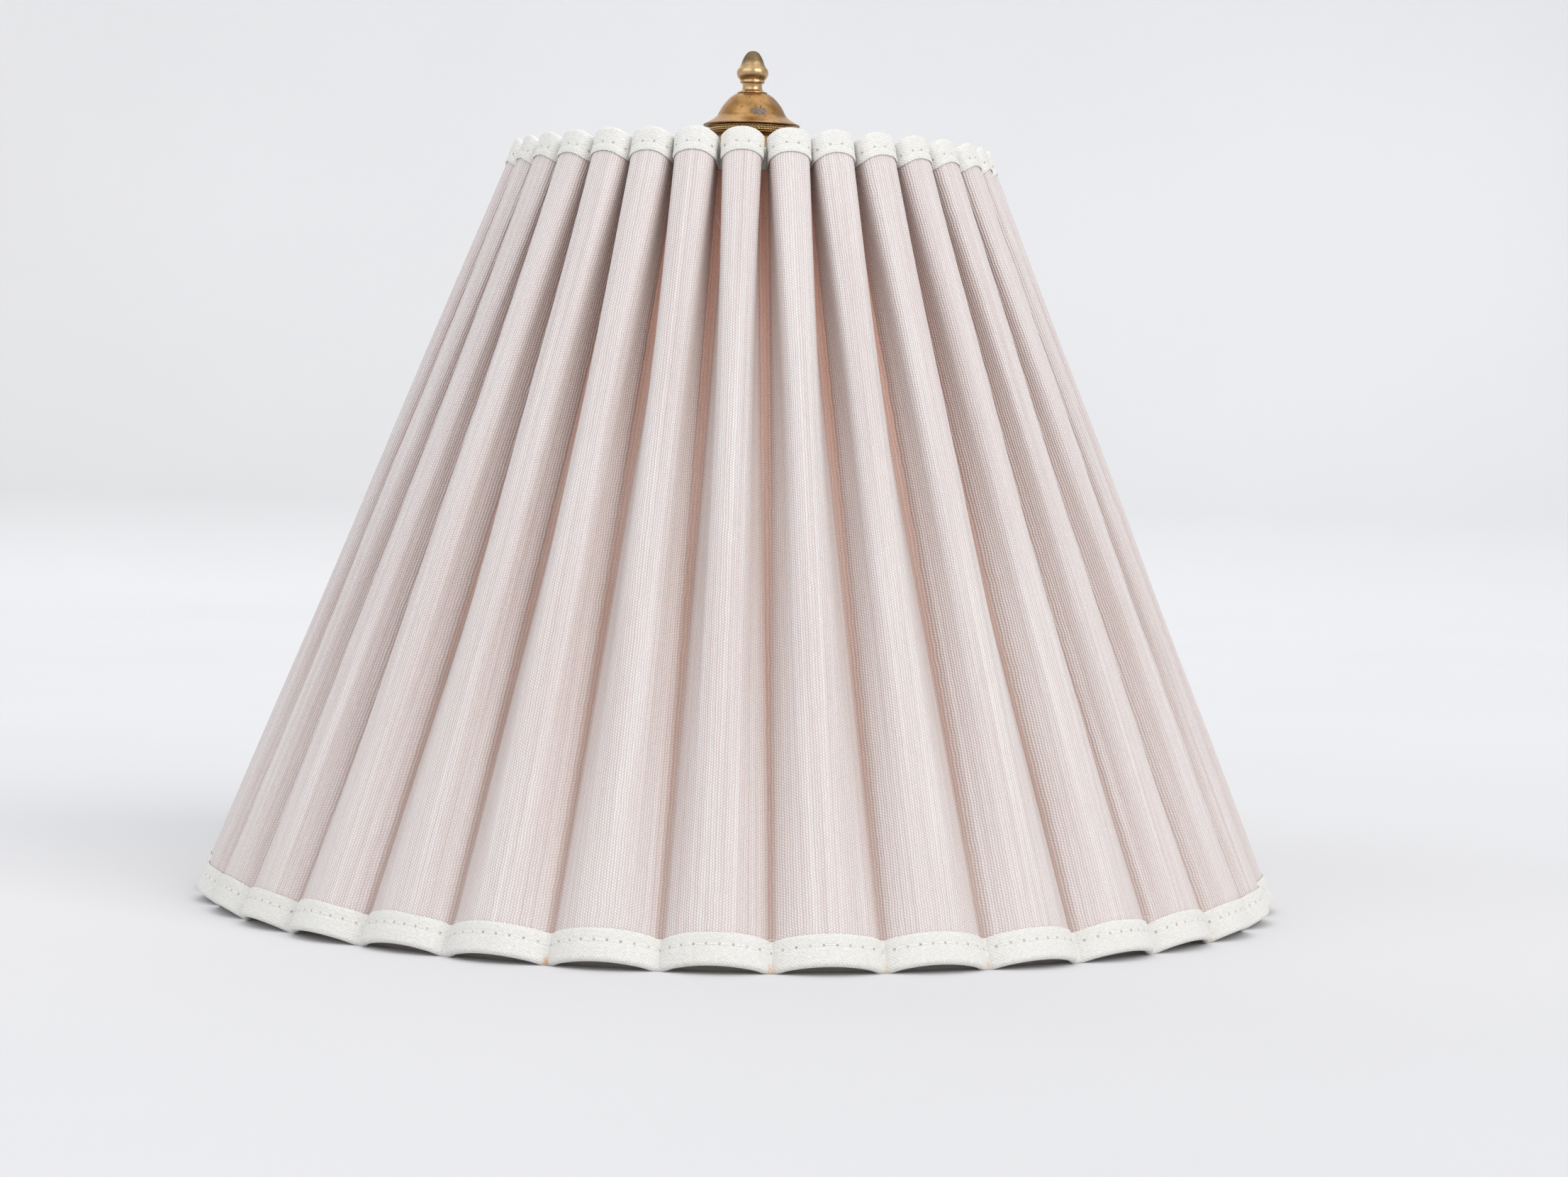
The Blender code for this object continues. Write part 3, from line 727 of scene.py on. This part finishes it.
def stitch_row(wall, seam, edge, count):
    """Sewing thread, one low arched stitch from each hole to the next."""
    pitch = wall.width / count
    sides, spots = 5, 7
    thread_radius, sunk, arch_height, lift = 0.17 * MM, 0.38 * MM, 0.36 * MM, 1.0 * MM
    share = np.linspace(-0.02, 1.02, spots)
    bow = np.clip(np.sin(math.pi * np.clip(share, 0.0, 1.0)), 0.0, 1.0) ** 0.5
    arch = TAPE_GAP + TAPE_THICKNESS - sunk + arch_height * bow
    random = np.random.default_rng(SEED + 5)
    starts = np.arange(count) * pitch
    centre = np.empty((count, spots, 3))
    lifted_line = np.empty_like(centre)
    for index, (place, height) in enumerate(zip(share, arch)):
        centre[:, index] = wall.line(starts + place * pitch, seam, height, edge)
        lifted_line[:, index] = wall.line(starts + place * pitch, seam, height + lift, edge)
    out = lifted_line - centre
    out /= np.linalg.norm(out, axis=2, keepdims=True)
    along = np.gradient(centre, axis=1)
    along /= np.linalg.norm(along, axis=2, keepdims=True)
    side = np.cross(out, along)
    side /= np.linalg.norm(side, axis=2, keepdims=True)
    taper = np.array([0.6, 0.9, 1.0, 1.0, 1.0, 0.9, 0.6])
    thick = thread_radius * random.uniform(0.85, 1.15, (count, 1, 1)) * taper[None, :, None]
    turn = 2.0 * math.pi * np.arange(sides) / sides
    rings = (centre[:, :, None] + side[:, :, None] * (thick[..., None] * np.cos(turn)[None, None, :, None])
             + out[:, :, None] * (thick[..., None] * np.sin(turn)[None, None, :, None]))
    faces = []
    for stitch in range(count):
        base = stitch * spots * sides
        for spot in range(spots - 1):
            here = base + spot * sides
            faces += [(here + s, here + (s + 1) % sides, here + sides + (s + 1) % sides, here + sides + s)
                      for s in range(sides)]
        faces.append(tuple(base + s for s in range(sides))[::-1])
        faces.append(tuple(base + (spots - 1) * sides + s for s in range(sides)))
    mesh = bpy.data.meshes.new("stitches")
    mesh.from_pydata(rings.reshape(-1, 3).tolist(), [], faces)
    mesh.shade_smooth()
    piece = bpy.data.objects.new("stitches", mesh)
    bpy.context.scene.collection.objects.link(piece)
    return turn_faces_out(piece)


def loose_fibre(start, direction, length, curl, thickness, random):
    """One stray thread, curling as it leaves the cloth."""
    steps = 14
    heading = Vector(direction).normalized()
    bend_axis = heading.cross(Vector(random.normal(0.0, 1.0, 3))).normalized()
    point = Vector(start)
    points = [tuple(point)]
    for _ in range(steps):
        heading = Matrix.Rotation(curl / steps * random.uniform(0.5, 1.5), 3, bend_axis) @ heading
        point = point + heading * (length / steps)
        points.append(tuple(point))
    return wire(points, thickness, 8)


# Operators ------------------------------------------------------------------------------------

class LAMPSHADE_OT_cover(bpy.types.Operator):
    """Add the fluted cloth cover"""
    bl_idname = "lampshade.cover"
    bl_label = "Fluted cover"

    def execute(self, context):
        cloth = context.scene.shade_cloth
        wall = Wall(cloth)
        rows = 20
        ripple = soft_ripple(wall, rows)
        sections, along, share = sheet_sections(wall, 0.0, CLOTH_THICKNESS, rows, ripple)
        # The fold attribute marks the valleys, more so towards the top: unfaded dye with painted shade along
        # the creases and flanks, and past 0.9 a painted warm glow near the top
        from_valley = (1.0 - np.abs(wall.step)) * cloth.developed / 2.0
        crease_dye_and_shade = np.exp(-(from_valley / CREASE_REACH) ** 2)
        flank_dye_and_shade = np.clip((wall.fold - 0.06) / 0.42, 0.0, 1.0)
        deep = np.outer(flank_dye_and_shade, 0.10 + 0.50 * share) + np.outer(crease_dye_and_shade, 0.62 + 0.28 * share)
        deep = np.minimum(deep, 0.9) + 0.1 * np.outer(flank_dye_and_shade, share**3)
        fold = np.concatenate([deep, deep[:, ::-1]], axis=1)
        piece = loft_round("fluted_cover", sections, wall.across, along, fold=fold)
        finish_piece(piece, "fluted_cover", cloth_finish(cloth), SHADE, "textile", "cover")
        return {"FINISHED"}


class LAMPSHADE_OT_lining(bpy.types.Operator):
    """Add the lining that backs the cover"""
    bl_idname = "lampshade.lining"
    bl_label = "Lining"

    def execute(self, context):
        cloth = context.scene.shade_cloth
        wall = Wall(cloth)
        rows = 14
        ripple = soft_ripple(wall, rows)
        offset = -CLOTH_THICKNESS - LINING_GAP
        sections, along, _ = sheet_sections(wall, offset, LINING_THICKNESS, rows, ripple)
        piece = loft_round("lining", sections, wall.across, along)
        finish_piece(piece, "lining", lining_finish(cloth), SHADE, "backing", "liner")
        return {"FINISHED"}


class LAMPSHADE_OT_tapes(bpy.types.Operator):
    """Add the two binding tapes and their rows of stitches"""
    bl_idname = "lampshade.tapes"
    bl_label = "Binding tapes"

    def execute(self, context):
        cloth, tape = context.scene.shade_cloth, context.scene.shade_tape
        wall = Wall(cloth)
        thread = thread_finish()
        random = np.random.default_rng(SEED + 7)
        # Stains as (valley, strength, reach); the valleys are counted from the front towards +X
        bottom_stains = [(0, 0.75, 1.7 * MM), (1, 0.6, 1.0 * MM), (2, 0.6, 1.0 * MM), (5, 0.7, 1.2 * MM),
                         (-6, 0.8, 1.3 * MM), (-2, 0.9, 1.6 * MM)]
        behind = np.arange(8, 24)
        bottom_stains += [(valley, 0.6, 1.2 * MM) for valley in random.choice(behind, 5, replace=False)]
        top_stains = [(valley, 0.35, 1.0 * MM) for valley in random.choice(cloth.flutes, 6, replace=False)]
        for edge, level, width, seam, stains in (
            ("upper", "top", tape.top_width, tape.top_seam, top_stains),
            ("lower", "bottom", tape.bottom_width, tape.bottom_seam, bottom_stains),
        ):
            sections, along = tape_sections(wall, width, tape.turn_in, seam, tape.stitches, edge)
            stain = stain_places(wall, along, stains)
            piece = loft_round(f"{level}_tape", sections, wall.across, along, stain=stain)
            material = tape_finish(tape, cloth, seam, f"{level}_tape_cotton")
            finish_piece(piece, f"{level}_tape", material, SHADE, "tape", f"{level}_binding")
            stitches = stitch_row(wall, seam, edge, tape.stitches)
            finish_piece(stitches, f"{level}_stitches", thread, SHADE, "tape")
        return {"FINISHED"}


class LAMPSHADE_OT_fibres(bpy.types.Operator):
    """Add the few stray threads at the tapes' edges"""
    bl_idname = "lampshade.fibres"
    bl_label = "Stray threads"

    def execute(self, context):
        cloth, tape = context.scene.shade_cloth, context.scene.shade_tape
        wall = Wall(cloth)
        random = np.random.default_rng(SEED + 11)
        pitch, root, thickness = cloth.developed, 0.8 * MM, 0.07 * MM
        # Threads as (place in flutes, distance from the edge, edge, length, curl)
        spots = [(0.06, tape.bottom_width, "lower", 0.012, 3.6), (-0.45, 0.001, "lower", 0.006, 1.8)]
        spots += [(-1.04, 0.026, "upper", 0.010, 3.4), (0.52, 0.058, "upper", 0.008, 2.6)]
        for distance, edge, fibre_length, curl, count in (
            (0.0014, "lower", 0.005, 1.5, 9), (tape.bottom_width, "lower", 0.005, 2.2, 6),
            (0.0, "upper", 0.004, 1.6, 9),
        ):
            spots += [(place, distance, edge, fibre_length, curl)
                      for place in random.uniform(-16.0, 16.0, count)]
        fibres = []
        for flute, distance, edge, length, curl in spots:
            across = np.array([flute * pitch])
            start = wall.line(across, distance, root, edge)[0]
            outward = Vector(wall.line(across, distance, 2.0 * MM, edge)[0] - start).normalized()
            to_edge = Vector(wall.line(across, distance - 2.0 * MM, root, edge)[0] - start).normalized()
            sideways = outward.cross(to_edge) * random.uniform(-1.5, 1.5)
            direction = outward * 0.6 + sideways - to_edge * 0.3
            fibres.append(loose_fibre(start, direction, length, curl, thickness, random))
        piece = join(fibres)
        finish_piece(piece, "stray_threads", thread_finish(), SHADE, "tape")
        return {"FINISHED"}


def ring_place(node, wire_radius):
    """Radius and height of a ring's centre line, from the frame."""
    low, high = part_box(node)
    return (high.y - low.y) / 2.0 - wire_radius, (low.z + high.z) / 2.0


def valley_angle(valley, flutes):
    """The angle of a valley, counted from the front towards +X."""
    return 2.0 * math.pi * valley / flutes


def solder(point, size, axis_points):
    """A small rounded fillet of solder where two wires meet."""
    deselect_all()
    bpy.ops.mesh.primitive_ico_sphere_add(subdivisions=3, radius=size, location=(0.0, 0.0, 0.0))
    blob = bpy.context.object
    bpy.ops.object.mode_set(mode="EDIT")
    bpy.ops.transform.resize(value=(1.0, 1.0, 1.35))
    bpy.ops.transform.vertex_random(offset=size * 0.07, seed=3)
    bpy.ops.object.mode_set(mode="OBJECT")
    blob.rotation_mode = "QUATERNION"
    blob.rotation_quaternion = (Vector(axis_points[1]) - Vector(axis_points[0])).to_track_quat("Z", "Y")
    blob.location = point
    return shade_round(settle(blob), 80.0)


class LAMPSHADE_OT_wires(bpy.types.Operator):
    """Add the rings, the uprights and the spider's arms, with their soldered joints"""
    bl_idname = "lampshade.wires"
    bl_label = "Wire frame"

    def execute(self, context):
        wires, flutes = context.scene.shade_frame, context.scene.shade_cloth.flutes
        steel = steel_finish(wires)
        places = {}
        for node, name in (("top_ring", "top_wire_ring"), ("bottom_ring", "bottom_wire_ring")):
            radius, z = places[node] = ring_place(node, wires.ring_wire)
            deselect_all()
            bpy.ops.mesh.primitive_torus_add(
                major_radius=radius, minor_radius=wires.ring_wire, major_segments=264, minor_segments=14,
                location=(0.0, 0.0, z))
            ring = shade_round(settle(bpy.context.object), 60.0)
            angle = valley_angle(ARM_VALLEYS[1], flutes) + SOLDER_LAP
            lap = [around(radius, z, angle + turn) for turn in (-0.012, 0.0, 0.012)]
            joint = solder(lap[1], wires.ring_wire * 1.18, (lap[0], lap[2]))
            finish_piece(join([ring, joint]), name, steel, SHADE, "wire", node)
        low_radius, low_z = places["bottom_ring"]
        high_radius, high_z = places["top_ring"]
        run = Vector((high_radius - low_radius, high_z - low_z)).normalized()
        reach = wires.ring_wire + wires.upright_wire * 0.5
        for index, valley in enumerate(ARM_VALLEYS, start=1):
            angle = valley_angle(valley, flutes)
            start = around(low_radius + run.x * reach, low_z + run.y * reach, angle)
            end = around(high_radius - run.x * reach, high_z - run.y * reach, angle)
            shares = np.linspace(0.0, 1.0, 9)
            line = [tuple(Vector(start).lerp(Vector(end), share)) for share in shares]
            rod = wire(line, wires.upright_wire)
            blobs = [solder(point, wires.upright_wire * 1.75, (start, end)) for point in (start, end)]
            rod = join([rod, *blobs])
            finish_piece(rod, f"upright_rod_{index}", steel, SHADE, "wire", f"upright_{index}")
        plate_low, plate_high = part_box("hub_plate")
        plate_radius = (plate_high.x - plate_low.x) / 2.0
        arm_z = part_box("spider_arm_1")[1].z - wires.ring_wire
        for index, valley in enumerate(ARM_VALLEYS, start=1):
            angle = valley_angle(valley, flutes)
            outer = high_radius - wires.ring_wire
            plan = through([
                (outer, high_z), (outer - 8.0 * MM, high_z + 0.4 * MM),
                (plate_radius + 10.0 * MM, arm_z - 0.6 * MM), (plate_radius + 3.0 * MM, arm_z),
                (plate_radius - 6.0 * MM, arm_z), (7.8 * MM, arm_z),
            ], 5)
            line = [around(radius, z, angle) for radius, z in plan]
            arm = wire(line, wires.ring_wire)
            at_plate = around(plate_radius - 1.5 * MM, arm_z + 0.2 * MM, angle)
            blobs = [solder(line[0], wires.ring_wire * 1.5, line[:2]),
                     solder(at_plate, wires.ring_wire * 1.35, line[-2:])]
            arm = join([arm, *blobs])
            finish_piece(arm, f"spider_rod_{index}", steel, SHADE, "wire", f"spider_arm_{index}")
        return {"FINISHED"}


class LAMPSHADE_OT_fitter(bpy.types.Operator):
    """Add the plate and the bush in the centre, which the finial screws into"""
    bl_idname = "lampshade.fitter"
    bl_label = "Fitter"

    def execute(self, context):
        low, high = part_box("hub_plate")
        radius, hole, edge, groove = (high.x - low.x) / 2.0, 6.5 * MM, 0.35 * MM, 0.2 * MM
        plate = lathe([
            (hole, low.z), (hole, high.z - edge), (hole + edge, high.z), (radius * 0.62, high.z),
            (radius * 0.68, high.z - groove), (radius * 0.86, high.z - groove), (radius * 0.90, high.z),
            (radius - edge, high.z), (radius, high.z - edge), (radius, low.z + edge), (radius - edge, low.z),
        ])
        steel = steel_finish(context.scene.shade_frame)
        finish_piece(plate, "fitter_plate", steel, SHADE, "wire", "hub_plate")
        low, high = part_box("hub_bush")
        flange, bore, neck, height = (high.x - low.x) / 2.0, 3.3 * MM, 6.2 * MM, high.z - low.z
        flange_top, bevel, groove = 6.0 * MM, 0.6 * MM, 0.4 * MM
        bush = lathe(lifted([
            (bore, 0.4 * MM), (bore, height), (neck, height), (neck, flange_top + bevel),
            (neck + bevel, flange_top), (flange - bevel, flange_top), (flange, flange_top - bevel),
            (flange, 4.2 * MM), (flange - groove, 3.9 * MM), (flange - groove, 2.2 * MM),
            (flange, 1.9 * MM), (flange, 0.5 * MM), (flange - 0.5 * MM, 0.0), (bore + 0.5 * MM, 0.0),
        ], low.z))
        finish = brass_finish(context.scene.shade_brass, "fitter_brass", 0.2, 0.5, (0.55, 0.40, 0.20))
        finish_piece(bush, "fitter_bush", finish.material, SHADE, "brass", "hub_bush")
        return {"FINISHED"}


class LAMPSHADE_OT_cap(bpy.types.Operator):
    """Add the cap: the drum with its lip, the row of beads and the spun dome"""
    bl_idname = "lampshade.cap"
    bl_label = "Cap"

    def execute(self, context):
        brass = context.scene.shade_brass
        drum_low, drum_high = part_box("cap_drum")
        bead_low, bead_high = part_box("bead_band")
        dome_low, dome_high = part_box("dome_cap")
        lip_radius, lip_top = (drum_high.x - drum_low.x) / 2.0, bead_low.z - 0.3 * MM
        drum_radius, neck_radius, wall, bevel = 13.0 * MM, 10.6 * MM, 1.2 * MM, 0.2 * MM
        rim, bead_top, body_radius = 0.3 * MM, drum_low.z + 1.4 * MM, 12.6 * MM
        lip_under = lip_top - 0.7 * MM
        drum = lathe([
            (drum_radius - wall, drum_low.z + rim), (drum_radius - rim, drum_low.z),
            (drum_radius, drum_low.z + rim), (drum_radius, bead_top), (body_radius, bead_top + rim),
            (body_radius, lip_under - 1.8 * MM),
            *arc(drum_radius + 0.8 * MM, lip_under - wall, wall, 180.0, 90.0, 6),
            (lip_radius - rim, lip_under), (lip_radius, lip_under + bevel), (lip_radius, lip_top - bevel),
            (lip_radius - bevel, lip_top), (neck_radius + bevel, lip_top), (neck_radius, lip_top + bevel),
            (neck_radius, drum_high.z - bevel), (neck_radius - bevel, drum_high.z),
            (neck_radius - wall, drum_high.z), (neck_radius - wall, lip_under),
            (drum_radius - wall, lip_under - wall),
        ])
        dark = brass_finish(brass, "shadowed_brass", 0.15, 0.75, (0.30, 0.19, 0.09))
        finish_piece(drum, "drum_and_lip", dark.material, CAP, "brass", "cap_drum")
        bead_radius = (bead_high.z - bead_low.z) / 2.0
        band_radius = (bead_high.x - bead_low.x) / 2.0 - bead_radius
        bead_z = (bead_low.z + bead_high.z) / 2.0
        inner, outer, bevel = band_radius - 0.6 * MM, band_radius + 0.2 * MM, 0.1 * MM
        band = lathe([
            (inner, bead_low.z), (outer - bevel, bead_low.z), (outer, bead_low.z + bevel),
            (outer, bead_high.z - bevel), (outer - bevel, bead_high.z), (inner, bead_high.z),
        ])
        deselect_all()
        bpy.ops.mesh.primitive_uv_sphere_add(
            segments=8, ring_count=6, radius=bead_radius, location=(0.0, 0.0, 0.0))
        first = bpy.context.object
        bpy.ops.object.mode_set(mode="EDIT")
        bpy.ops.transform.resize(value=(0.75, 0.66, 0.82))
        bpy.ops.object.mode_set(mode="OBJECT")
        shade_round(first, 80.0)
        beads = [band]
        random = np.random.default_rng(SEED + 13)
        for index in range(brass.beads):
            bead = first.copy()
            bead.data = first.data.copy()
            context.scene.collection.objects.link(bead)
            angle = 2.0 * math.pi * (index + random.uniform(-0.06, 0.06)) / brass.beads
            bead.rotation_euler = (0.0, random.uniform(-0.1, 0.1), angle)
            bead.location = around(band_radius, bead_z, angle)
            beads.append(settle(bead))
        bpy.data.objects.remove(first)
        # The beads get a paler, brighter tint: a painted highlight on the beads under the dome's rim
        bead_highlight_finish = brass_finish(brass, "beaded_brass", 0.85, 0.2, (0.95, 0.68, 0.34))
        finish_piece(join(beads), "bead_row", bead_highlight_finish.material, CAP, "brass", "bead_band")
        seat, rim_radius, metal = dome_high.z, (dome_high.x - dome_low.x) / 2.0, 0.7 * MM
        hole, crown = 3.3 * MM, 5.8 * MM
        outside = through(in_mm((6.2, 0.0), (8.2, -1.5), (10.5, -4.2), (11.95, -6.8), (12.75, -8.15),
                                (14.3, -9.35), (16.4, -10.55), (17.3, -11.05)), 5)
        rolled = arc(rim_radius - rim, -11.25 * MM, rim, 60.0, -90.0, 5)
        inside = [(max(radius - metal * 0.8, 5.5 * MM), height - metal * 0.75)
                  for radius, height in outside[::-1][2:]]
        outline = [(hole, 0.0), (crown, 0.0), *outside, *rolled, *inside, (hole, -metal)]
        dome = lathe(lifted(outline, seat), 128)
        finish = brass_finish(brass, "dome_brass", 0.0, 0.42, brass.brass_colour)
        patch_size = (3.6 * MM, 4.0 * MM, 1.9 * MM)
        grey_patch(finish, (2.0 * MM, -12.0 * MM, seat - 6.9 * MM), patch_size)
        finish_piece(dome, "spun_dome", finish.material, CAP, "brass", "dome_cap")
        return {"FINISHED"}


class LAMPSHADE_OT_finial(bpy.types.Operator):
    """Add the finial: foot, waist, collar, ball and tip, on a threaded shank"""
    bl_idname = "lampshade.finial"
    bl_label = "Finial"

    def execute(self, context):
        brass = context.scene.shade_brass
        low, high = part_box("finial_knob")
        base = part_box("dome_cap")[1].z + 0.3 * MM
        tip, end, shank = high.z - base, low.z - base, 3.0 * MM
        thread_top, thread_pitch, thread_depth = -12.0 * MM, 1.0 * MM, 0.35 * MM
        bullet = through([
            (0.0, tip), (1.1 * MM, tip - 0.2 * MM), (2.1 * MM, tip - 0.8 * MM),
            *in_mm((3.05, 13.3), (3.6, 12.2), (3.98, 11.2), (4.3, 10.3), (4.72, 9.55)),
        ], 4)
        ball = through(in_mm((4.9, 9.2), (5.4, 8.65), (5.68, 7.7), (5.64, 6.75), (5.25, 5.8), (4.6, 5.0)), 4)
        collar = in_mm((4.30, 4.85), (4.42, 4.65), (4.42, 3.95), (4.25, 3.75), (3.75, 3.65))
        waist = through(in_mm((3.58, 3.3), (3.55, 2.3), (3.72, 1.4), (4.3, 0.72)), 4)
        foot = in_mm((5.15, 0.48), (5.45, 0.34), (5.5, 0.2), (5.4, 0.0))
        ridges = []
        height = thread_top
        while height > end + 1.2 * thread_pitch:
            ridges += [(shank - thread_depth, height), (shank, height - thread_pitch * 0.5)]
            height -= thread_pitch
        core = [(shank - 0.1 * MM, 0.0), (shank - 0.1 * MM, thread_top + 0.5 * MM), *ridges,
                (shank - thread_depth, end + 0.8 * MM), (shank - 0.8 * MM, end), (0.0, end)]
        knob = lathe(lifted(bullet + ball + collar + waist + foot + core, base), 96)
        finish = brass_finish(brass, "finial_brass", 0.6, 0.40, (0.72, 0.53, 0.31))
        place = finish.place()
        height = finish.node("ShaderNodeSeparateXYZ", {0: place}).outputs[2]
        dull = finish.scaled(height, base + 9.5 * MM, base + 11.8 * MM)
        metal, rough = finish.so_far()
        finish.colour(finish.blend(finish.maths("MULTIPLY", dull, 0.88), metal, (0.18, 0.13, 0.068)))
        finish.roughness(finish.maths("MULTIPLY_ADD", dull, 0.22, rough))
        finish_piece(knob, "turned_finial", finish.material, FINIAL, "brass", "finial_knob")
        return {"FINISHED"}


class LAMPSHADE_OT_stage(bpy.types.Operator):
    """Set the pale floor, the soft studio lights and the camera"""
    bl_idname = "lampshade.stage"
    bl_label = "Floor, lights and camera"

    def execute(self, context):
        stage = context.scene.shade_stage
        floor = lathe([(0.0, FLOOR_Z), *arc(FLOOR_RADIUS - SWEEP, FLOOR_Z + SWEEP, SWEEP, -90.0, 0.0, 16),
                       (FLOOR_RADIUS, FLOOR_Z + BACKDROP_HEIGHT)], 96)
        floor.name = "floor_and_backdrop"
        finish = Finish("pale_paper", Roughness=0.95, Specular_IOR_Level=0.1)
        place = finish.place()
        parts = finish.node("ShaderNodeSeparateXYZ", {0: place}).outputs
        grain = finish.scaled(finish.noise(place, 2.0, 4.0), 0.3, 0.7, 0.0, 0.12)
        # Painted shade: the backdrop is a little darker than the floor, most of all low down and on the
        # left; the paper's grain is added in
        low_down = finish.scaled(parts[2], 0.1, 0.7, 1.0, 0.45)
        rise = finish.maths("MULTIPLY", finish.scaled(parts[2], 0.0, 0.1), low_down)
        darker = finish.maths("MULTIPLY", rise, finish.scaled(parts[0], -1.3, 1.0, 1.0, 0.45))
        darker = finish.maths("ADD", grain, darker, clamp=True)
        shaded = tuple(0.78 * value for value in stage.floor_colour)
        finish.colour(finish.blend(darker, stage.floor_colour, shaded))
        floor.data.materials.append(finish.material)
        world = bpy.data.worlds.new("even_light")
        world.use_nodes = True
        light = world.node_tree.nodes["Background"].inputs
        light["Color"].default_value = (0.96, 0.975, 1.0, 1.0)
        light["Strength"].default_value = stage.sky
        context.scene.world = world
        for name, direction, strength, softness, colour in (
            ("key_light", (1.0, -1.15, 0.95), stage.key_strength, 40.0, (1.0, 0.985, 0.965)),
            ("fill_light", (-1.2, -1.0, 0.85), stage.fill_strength, 70.0, (0.96, 0.98, 1.0)),
            ("top_light", (0.1, 0.25, 1.0), stage.top_strength, 60.0, (1.0, 1.0, 1.0)),
            ("back_light", (-0.3, 1.2, 0.7), stage.back_strength, 60.0, (1.0, 1.0, 1.0)),
        ):
            bpy.ops.object.light_add(type="SUN", location=Vector(direction) * 2.0)
            lamp = context.object
            lamp.name = name
            lamp.data.energy = strength
            lamp.data.angle = math.radians(softness)
            lamp.data.color = colour
            lamp.rotation_mode = "QUATERNION"
            lamp.rotation_quaternion = (-Vector(direction)).to_track_quat("-Z", "Y")
        bpy.ops.object.camera_add(location=(-0.0755, -1.2651, 0.1642))
        camera = context.object
        camera.name = "camera"
        heading, tilt, roll = -0.0716, -0.0409, 0.0208
        turn = Matrix.Rotation(heading, 4, "Z") @ Matrix.Rotation(math.pi / 2.0 + tilt, 4, "X")
        camera.rotation_mode = "QUATERNION"
        camera.rotation_quaternion = (turn @ Matrix.Rotation(roll, 4, "Z")).to_quaternion()
        camera.data.lens = 80.1
        camera.data.sensor_width = 36.0
        context.scene.camera = camera
        context.scene.view_settings.view_transform = "Standard"
        return {"FINISHED"}


class LAMPSHADE_PT_panel(bpy.types.Panel):
    """Lists the shade's pieces"""
    bl_idname = "LAMPSHADE_PT_panel"
    bl_label = "Lamp Shade"
    bl_space_type = "VIEW_3D"
    bl_region_type = "UI"
    bl_category = "Lamp Shade"

    def draw(self, context):
        for group in ("shade_cloth", "shade_tape", "shade_frame", "shade_brass", "shade_stage"):
            settings = getattr(context.scene, group)
            for name in settings.__annotations__:
                self.layout.prop(settings, name)
        for operator in OPERATORS:
            self.layout.operator(operator.bl_idname)


SETTINGS = {
    "shade_cloth": ClothSettings, "shade_tape": TapeSettings, "shade_frame": FrameSettings,
    "shade_brass": BrassSettings, "shade_stage": StageSettings,
}
OPERATORS = (
    LAMPSHADE_OT_stage, LAMPSHADE_OT_cover, LAMPSHADE_OT_lining, LAMPSHADE_OT_tapes, LAMPSHADE_OT_fibres,
    LAMPSHADE_OT_wires, LAMPSHADE_OT_fitter, LAMPSHADE_OT_cap, LAMPSHADE_OT_finial,
)


def register():
    for item in (*SETTINGS.values(), *OPERATORS, LAMPSHADE_PT_panel):
        bpy.utils.register_class(item)
    for name, settings in SETTINGS.items():
        setattr(bpy.types.Scene, name, PointerProperty(type=settings))


def unregister():
    for name in SETTINGS:
        delattr(bpy.types.Scene, name)
    for item in reversed((*SETTINGS.values(), *OPERATORS, LAMPSHADE_PT_panel)):
        bpy.utils.unregister_class(item)


def main():
    """Make the stage and every piece in order."""
    register()
    bpy.ops.lampshade.stage()
    bpy.ops.lampshade.cover()
    bpy.ops.lampshade.lining()
    bpy.ops.lampshade.tapes()
    bpy.ops.lampshade.fibres()
    bpy.ops.lampshade.wires()
    bpy.ops.lampshade.fitter()
    bpy.ops.lampshade.cap()
    bpy.ops.lampshade.finial()


if __name__ == "__main__":
    main()
